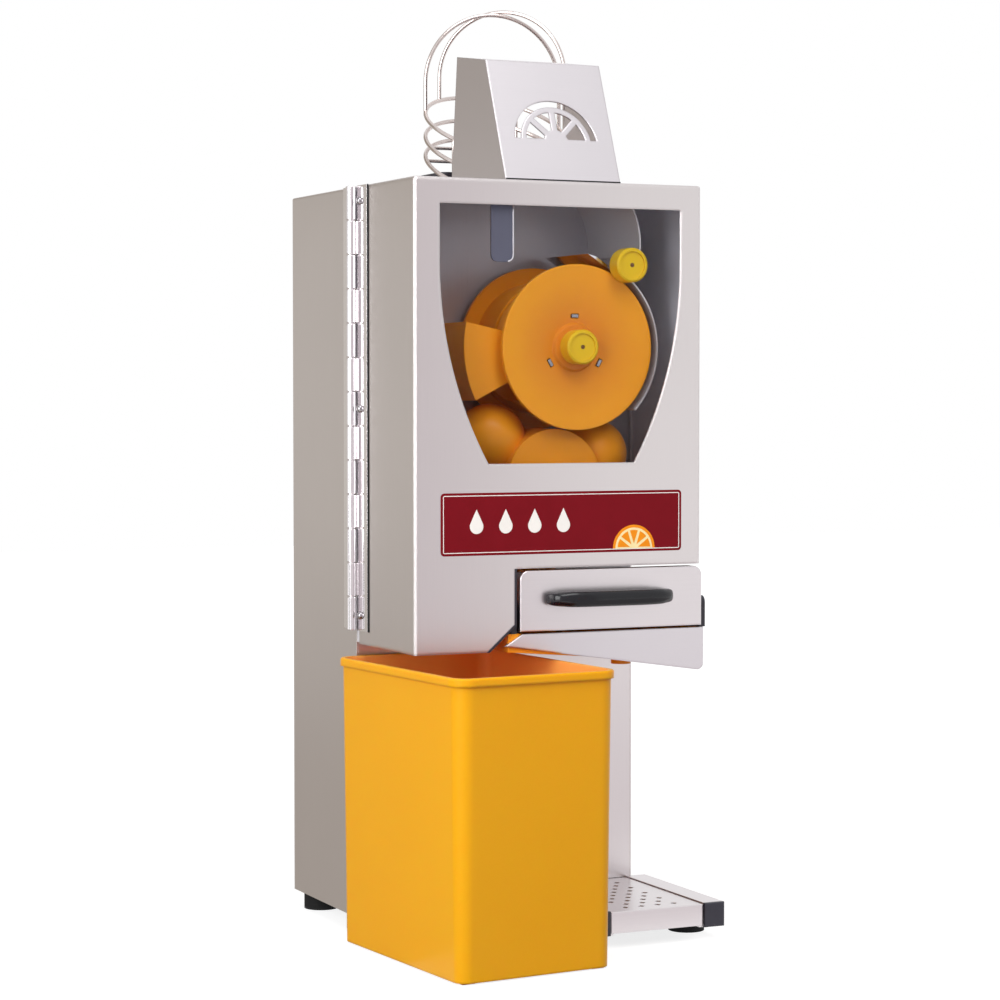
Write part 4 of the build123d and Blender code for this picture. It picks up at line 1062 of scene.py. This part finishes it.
@dataclass
class WireFeeder(SubAssembly):
    """Welded feeder of round wire over the plain CAD wires. Sizes in millimetres, angles in degrees."""

    deck: float = 678.5
    wire: float = 2.0
    arch_wire: float = 1.85
    tie: float = 1.6
    ring_radius: float = 66.0
    centre_x: float = 10.8
    centre_y: float = 28.0
    tilt: float = 28.4
    rail_heights: Triple = (23.3, 41.2, 62.6)
    rail_start: float = -40.0
    low_rail_start: float = -34.0
    rail_step: float = 4.0
    tie_angles: tuple[float, ...] = (-32.0, 50.0, 95.0, 212.0)
    bar_angles: tuple[float, ...] = (10.0, 40.0)
    post_spacing: float = 32.0
    arches: tuple[Triple, ...] = ((157.0, 0.0, 166.5), (122.0, -25.0, 170.0))
    arch_steps: int = 48
    base_height: float = 18.0
    sides: int = 14

    finishes: ClassVar[dict[str, Finish]] = {"feeder_base": BLACK}

    def spot(self, height: float, angle: float) -> Triple:
        """Point on a tilted rail.

        Args:
            height: height of the rail's middle above the deck.
            angle: angle round the rail.

        Returns:
            Place in the machine.
        """
        turn, lean = math.radians(angle), math.radians(self.tilt)
        side = self.ring_radius * math.sin(turn)
        x = self.centre_x + self.ring_radius * math.cos(turn)
        return (x, self.centre_y + side * math.cos(lean), self.deck + height + side * math.sin(lean))

    def rail(self, height: float, start: float) -> list[Triple]:
        """Points along a rail that is open in front.

        Args:
            height: height of its middle above the deck.
            start: angle of its right end.

        Returns:
            Places in the machine.
        """
        sweep = 180 - 2 * start
        count = int(sweep / self.rail_step)
        return [self.spot(height, start + sweep * i / count) for i in range(count + 1)]

    def arch(self, left_angle: float, right_angle: float, top: float) -> list[Vector]:
        """Points along an arch from its left foot to its right foot.

        Args:
            left_angle: place of its left foot on the top rail.
            right_angle: place of its right foot on the top rail.
            top: height of its crown above the deck.

        Returns:
            Places in the machine.
        """
        left, right = [Vector(self.spot(self.rail_heights[-1], a)) for a in (left_angle, right_angle)]
        along = Vector((right.x - left.x, right.y - left.y, 0.0)) / 2
        middle = Vector(((left.x + right.x) / 2, (left.y + right.y) / 2, self.deck + top - along.length))
        crown = []
        for across, up in arc((0.0, 0.0), 1.0, 180.0, 0.0, self.arch_steps):
            crown.append(middle + along * across + Vector((0.0, 0.0, along.length * up)))
        return [left, *crown, right]

    def add_pieces(self) -> None:
        """Build all the wires as one piece that stands for the CAD node."""
        low, middle, high = self.rail_heights
        rails = ((high, self.rail_start), (middle, self.rail_start), (low, self.low_rail_start))
        runs = [(self.rail(height, start), self.wire) for height, start in rails]
        runs += [([self.spot(low, angle), self.spot(high, angle)], self.tie) for angle in self.tie_angles]
        for angle in self.bar_angles:
            bar = [self.spot(low, 180 - angle), self.spot(low, angle)]
            runs.append((bar, self.tie))
            for x in (self.centre_x - self.post_spacing / 2, self.centre_x + self.post_spacing / 2):
                runs.append(([(x, bar[0][1], self.deck + self.base_height), (x, *bar[0][1:])], self.tie))
        runs += [(self.arch(*arch), self.arch_wire) for arch in self.arches]
        wires = Workpiece("feeder_wires")
        for run, radius in runs:
            wires.tube([machine_point(*place) for place in run], radius, self.sides)
        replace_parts(wires.finish(Body.CABINET, WIRE, Slot.WIRE), "wire_feeder")


@dataclass
class SqueezeUnit(SubAssembly):
    """Drums, dish, knobs, guide band, knife and ejector. Sizes in millimetres, angles in degrees."""

    pin_radius: float = 2.0
    pin_lift: float = 0.4
    pin_sides: int = 16
    face_depth: float = 1.6
    key_count: int = 3
    key_start: float = 90.0
    key_circle: float = 28.0
    key_length: float = 6.4
    key_width: float = 2.8
    key_front: float = -98.7
    key_depth: float = 2.7

    finishes: ClassVar[dict[str, Finish]] = {
        "cup_drum": AMBER, "front_dish": DISH_AMBER, "cup_shaft": BRIGHT_STEEL,
        "dish_knob": KNOB_YELLOW, "guide_knob": KNOB_YELLOW, "ball_drum": AMBER,
        "ball_shaft": BRIGHT_STEEL, "ball_nut": BRIGHT_STEEL, "peel_ejector": AMBER,
        "fruit_band": BAND_STEEL, "guide_stud": BRIGHT_STEEL, "knife": BRIGHT_STEEL,
    }

    def add_pin(self, node: str, body: Body) -> None:
        """Add the small pin in the middle of a knob.

        Args:
            node: CAD node of the knob.
            body: body that carries it.
        """
        low, high = machine_box(node)
        face = machine_point((low.x + high.x) / 2, low.y + self.face_depth, (low.z + high.z) / 2)
        pin = Workpiece(f"{node}_pin")
        pin.turned(face, (0.0, -1.0, 0.0), dome(self.pin_radius, self.pin_lift, PIN_DOME), self.pin_sides)
        pin.finish(body, RIVET_BROWN, Slot.YELLOW)

    def add_keys(self) -> None:
        """Add the bright keys in the slots of the dish."""
        keys = Workpiece("dish_keys")
        for i in range(self.key_count):
            turn = math.radians(self.key_start + 360 / self.key_count * i)
            corners = []
            for a, b in ((-1, -1), (1, -1), (1, 1), (-1, 1)):
                reach, shift = self.key_circle + b * self.key_width / 2, a * self.key_length / 2
                x = CUP_AXIS[0] + math.cos(turn) * reach - math.sin(turn) * shift
                corners.append((x, CUP_AXIS[1] + math.sin(turn) * reach + math.cos(turn) * shift))
            keys.plate(corners, self.key_front, self.key_depth)
        keys.finish(Body.CUP_UNIT, SCREW_STEEL, Slot.SHEET)

    def add_pieces(self) -> None:
        """Add the pins in the knobs and the keys of the dish."""
        self.add_pin("dish_knob", Body.DISH_KNOB)
        self.add_pin("guide_knob", Body.GUIDE_KNOB)
        self.add_keys()


@dataclass
class DriveUnit(SubAssembly):
    """Gears, bearings, motor and electrics."""

    finishes: ClassVar[dict[str, Finish]] = {
        "cup_gear": GEAR_PLASTIC, "ball_gear": GEAR_PLASTIC, "drive_pinion": DULL_STEEL,
        "bearing_plate": DULL_STEEL, "plate_spacers": DULL_STEEL, "cup_front_bush": BRONZE,
        "cup_rear_bush": BRONZE, "ball_front_bush": BRONZE, "ball_rear_bush": BRONZE, "gearbox": CAST,
        "drive_motor": MOTOR_PAINT, "switch_bezel": BLACK, "switch_rocker": SWITCH_GREEN,
        "power_inlet": BLACK, "cover_sensor": BLACK, "control_box": BLACK,
    }


@dataclass
class JuiceSection(SubAssembly):
    """Filter drawer with its bow handle, tank and spout. Sizes in millimetres, the angle in degrees."""

    handle_bar: float = 11.5
    handle_foot: float = 13.0
    handle_stations: int = 44
    handle_sides: int = 24
    end_trim: float = 0.02
    outer_bow: float = 3.2
    inner_bow: float = 4.0
    end_round: float = 6.0
    section: float = 2.6
    round_angle: float = 50.0

    finishes: ClassVar[dict[str, Finish]] = {
        "drawer_front": LEVEL_STEEL, "drawer_tray": DULL_STEEL, "filter_sheet": BRIGHT_STEEL,
        "juice_tank": AMBER, "tank_front": BENT_STEEL, "juice_spout": AMBER, "left_drawer_rail": BLACK,
        "right_drawer_rail": BLACK,
    }

    def handle_row(self, share: float) -> list[Vector]:
        """Points round the handle at one place along it.

        Args:
            share: place from -1 at its left end to 1 at its right end.

        Returns:
            The points in the frame.
        """
        low, high = machine_box("drawer_handle")
        half, depth, rise = (high.x - low.x) / 2, high.y - low.y, (high.z - low.z) / 2
        inside = min(abs(share) * half / (half - self.handle_foot), 1.0)
        bows = ((depth, abs(share), self.outer_bow), (depth - self.handle_bar, inside, self.inner_bow),
                (rise, abs(share), self.end_round))
        outer, inner, tall = [size * (1 - place ** bow) ** (1 / bow) for size, place, bow in bows]
        points = []
        for spot in arc((0.0, 0.0), 1.0, 0.0, 360.0, self.handle_sides)[:-1]:
            across, up = [math.copysign(abs(part) ** (2 / self.section), part) for part in spot]
            y = high.y - (outer + inner) / 2 - across * (outer - inner) / 2
            points.append(machine_point(low.x + half * (1 + share), y, low.z + rise + tall * up))
        return points

    def add_pieces(self) -> None:
        """Build the bow handle that stands for the plain one."""
        handle = Workpiece("bow_handle")
        trim = 180 * self.end_trim
        shares = [-x for x, _ in arc((0.0, 0.0), 1.0, trim, 180 - trim, self.handle_stations)]
        handle.skin([handle.row(self.handle_row(share)) for share in shares])
        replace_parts(handle.finish(Body.DRAWER, GLOSS_BLACK, Slot.GLOSS, self.round_angle), "drawer_handle")


@dataclass
class DripStand(SubAssembly):
    """Base tubes with the drip pan and its perforated grid."""

    finishes: ClassVar[dict[str, Finish]] = {
        "left_base_tube": LEVEL_STEEL, "right_base_tube": LEVEL_STEEL, "left_tube_cap": CAP_BLACK,
        "right_tube_cap": CAP_BLACK, "tube_feet": RUBBER, "drip_pan": PAN_STEEL, "drip_grid": LEVEL_STEEL,
    }


@dataclass
class WasteBin(SubAssembly):
    """Bin for the peel."""

    finishes: ClassVar[dict[str, Finish]] = {"waste_bin": BIN_YELLOW}


def lay_sheet(name: str, corners: tuple[Triple, ...], material: bpy.types.Material) -> bpy.types.Object:
    """Lay a flat sheet of the studio.

    Args:
        name: name of the sheet.
        corners: its corners in order.
        material: material that it wears.

    Returns:
        The new object.
    """
    mesh = bpy.data.meshes.new(name)
    mesh.from_pydata(corners, [], [range(len(corners))])
    mesh.materials.append(material)
    sheet = bpy.data.objects.new(name, mesh)
    bpy.context.scene.collection.objects.link(sheet)
    return sheet


@dataclass(frozen=True)
class Lamp:
    """Soft square lamp that looks at the machine. Lengths in metres, power in watts."""

    name: str
    place: Triple
    size: float
    power: float
    mirrored: bool = True
    aim: Triple = (0.0, 0.0, 0.35)

    def hang(self) -> None:
        """Hang the lamp."""
        data = bpy.data.lights.new(self.name, "AREA")
        data.size = self.size
        data.energy = self.power
        lamp = bpy.data.objects.new(self.name, data)
        lamp.location = self.place
        lamp.visible_glossy = self.mirrored
        lamp.rotation_mode = "QUATERNION"
        lamp.rotation_quaternion = (Vector(self.aim) - Vector(self.place)).to_track_quat("-Z", "Y")
        bpy.context.scene.collection.objects.link(lamp)


@dataclass(frozen=True)
class Card:
    """Toned card that only the steel's reflections see. Lengths in metres."""

    name: str
    tone: Colour
    fade_tone: Colour | None = None
    fade_heights: Point2 = (0.0, 1.0)

    def stand(self, left: Point2, right: Point2, bottom: float, top: float) -> None:
        """Stand the card upright between two places on the floor and two heights."""
        self.put(((*left, bottom), (*right, bottom), (*right, top), (*left, top)))

    def lie(self, corners: tuple[Point2, ...], lift: float = 0.002) -> None:
        """Lay the card just above the floor."""
        self.put(tuple((*corner, lift) for corner in corners))

    def put(self, corners: tuple[Triple, ...]) -> None:
        """Put the card in its place.

        Args:
            corners: its corners in order.
        """
        material, sheet = new_material(self.name)
        glow = sheet.add("ShaderNodeEmission", Color=linear(self.tone), Strength=1.0)
        if self.fade_tone:
            rise = sheet.ramp(sheet.place()[2], *self.fade_heights, *NOISE_SPAN)
            sheet.link(sheet.tint(rise, self.tone, self.fade_tone), glow.inputs["Color"])
        sheet.close(glow.outputs["Emission"])
        card = lay_sheet(self.name, corners, material)
        card.visible_camera = False
        card.visible_diffuse = False
        card.visible_transmission = False
        card.visible_shadow = False


@dataclass
class Studio:
    """Pale floor, white surroundings, soft lamps, cards for the reflections, and the camera.

    Lengths are in metres and angles in degrees; the camera's place is a machine point.
    """

    floor_half: float = 6.0
    floor_glow: float = 0.8
    floor_fade: Point2 = (0.5, 1.6)
    floor_tone: Colour = (160, 160, 160)
    ambient: float = 0.42
    ambient_tint: tuple[float, ...] = (1.0, 0.99, 0.97, 1.0)
    lamps: tuple[Lamp, ...] = (
        Lamp("key_lamp", (-2.1, -1.0, 1.0), size=1.6, power=47.0),
        Lamp("front_lamp", (0.2, -2.2, 1.9), size=1.0, power=16.0, mirrored=False),
        Lamp("top_lamp", (-0.2, -1.0, 2.3), size=1.2, power=20.0),
    )
    side_left: Point2 = (-1.65, 0.9)
    side_right: Point2 = (0.05, 1.85)
    side_bend: float = 0.35
    side_fade: Point2 = (0.74, 0.9)
    side_top: float = 2.4
    side_ground: tuple[Point2, ...] = ((-1.7, -0.1), (-0.15, -0.1), (0.05, 1.85), (-1.7, 0.9))
    front_left: Point2 = (-0.9, -0.95)
    front_right: Point2 = (0.36, -0.95)
    front_top: float = 1.0
    front_ground: tuple[Point2, ...] = ((-0.1, -1.6), (1.3, -1.6), (1.3, -0.2), (-0.1, -0.2))
    dark_left: Point2 = (-1.8, -0.45)
    dark_right: Point2 = (-1.8, -0.15)
    dark_top: float = 1.6
    camera_place: Triple = (-1050.5, -2267.2, 491.3)
    camera_yaw: float = 24.918
    camera_pitch: float = -2.233
    lens: float = 97.34
    sensor: float = 36.0
    view_limit: float = 50.0

    def seen_rays(self, sheet: NodeSheet) -> Socket:
        """Value that is 1 for rays from the camera, a mirror or glass.

        Args:
            sheet: nodes that take it.

        Returns:
            The socket.
        """
        path = sheet.add("ShaderNodeLightPath").outputs
        first = sheet.math("MAXIMUM", path["Is Camera Ray"], path["Is Glossy Ray"])
        return sheet.math("MAXIMUM", first, path["Is Transmission Ray"])

    def floor(self) -> None:
        """Lay the floor, which runs to white away from the machine."""
        material, sheet = new_material("pale_floor")
        x, y, _ = sheet.place()
        white = sheet.ramp(sheet.length(x, y), *self.floor_fade, self.floor_glow, 1.0)
        glow = sheet.add("ShaderNodeEmission", Color=WHITE)
        sheet.link(sheet.math("MULTIPLY", self.seen_rays(sheet), white), glow.inputs["Strength"])
        matt = sheet.add("ShaderNodeBsdfDiffuse", Color=linear(self.floor_tone))
        sheet.close(sheet.join("ShaderNodeAddShader", matt.outputs["BSDF"], glow.outputs["Emission"]))
        half = self.floor_half
        corners = ((-half, -half, 0.0), (half, -half, 0.0), (half, half, 0.0), (-half, half, 0.0))
        lay_sheet("floor", corners, material)

    def surroundings(self) -> None:
        """Make the world: white where it is seen, plain soft light elsewhere."""
        world = bpy.data.worlds.new("studio")
        bpy.context.scene.world = world
        world.use_nodes = True
        sheet = NodeSheet(world.node_tree)
        light = sheet.add("ShaderNodeBackground", Color=self.ambient_tint, Strength=self.ambient).outputs[0]
        white = sheet.add("ShaderNodeBackground", Color=WHITE, Strength=1.0).outputs[0]
        both = sheet.join("ShaderNodeMixShader", self.seen_rays(sheet), light, white)
        sheet.close(both, "ShaderNodeOutputWorld")

    def cards(self) -> None:
        """Set the cards: behind and far out at the left, in front, and on the floor."""
        side, bend = (self.side_left, self.side_right), self.side_bend
        high = Card("side_card", (208, 203, 195), fade_tone=(184, 177, 167), fade_heights=self.side_fade)
        low = Card("side_low_card", (190, 184, 176), fade_tone=(208, 203, 195), fade_heights=(0.0, bend))
        high.stand(*side, bend, self.side_top)
        low.stand(*side, 0.0, bend)
        Card("side_ground_card", (184, 177, 168)).lie(self.side_ground)
        Card("front_card", (226, 219, 222)).stand(self.front_left, self.front_right, 0.0, self.front_top)
        Card("dark_card", (70, 66, 68)).stand(self.dark_left, self.dark_right, 0.0, self.dark_top)
        Card("front_ground_card", (238, 231, 233)).lie(self.front_ground)

    def camera(self) -> None:
        """Set up the camera at the photograph's angle."""
        data = bpy.data.cameras.new("camera")
        data.lens = self.lens
        data.sensor_width = self.sensor
        data.clip_end = self.view_limit
        camera = bpy.data.objects.new("camera", data)
        camera.location = machine_point(*self.camera_place)
        camera.rotation_euler = (math.radians(90 + self.camera_pitch), 0.0, math.radians(-self.camera_yaw))
        bpy.context.scene.collection.objects.link(camera)
        bpy.context.scene.camera = camera

    def build(self) -> None:
        """Build the whole studio."""
        self.floor()
        self.surroundings()
        for lamp in self.lamps:
            lamp.hang()
        self.cards()
        self.camera()
        bpy.context.scene.view_settings.view_transform = "Standard"
        LOG.info("studio ready")


def main() -> None:
    """Dress the frame, add the pieces and set up the studio."""
    logging.basicConfig(level=logging.INFO, format="%(message)s")
    groups = (
        Cabinet(), PianoHinge(), FrontCover(), CoverLabel(), WireFeeder(), SqueezeUnit(), DriveUnit(),
        JuiceSection(), DripStand(), WasteBin(),
    )
    for group in groups:
        group.build()
        LOG.info("%s done", type(group).__name__)
    Studio().build()


if __name__ == "__main__":
    main()
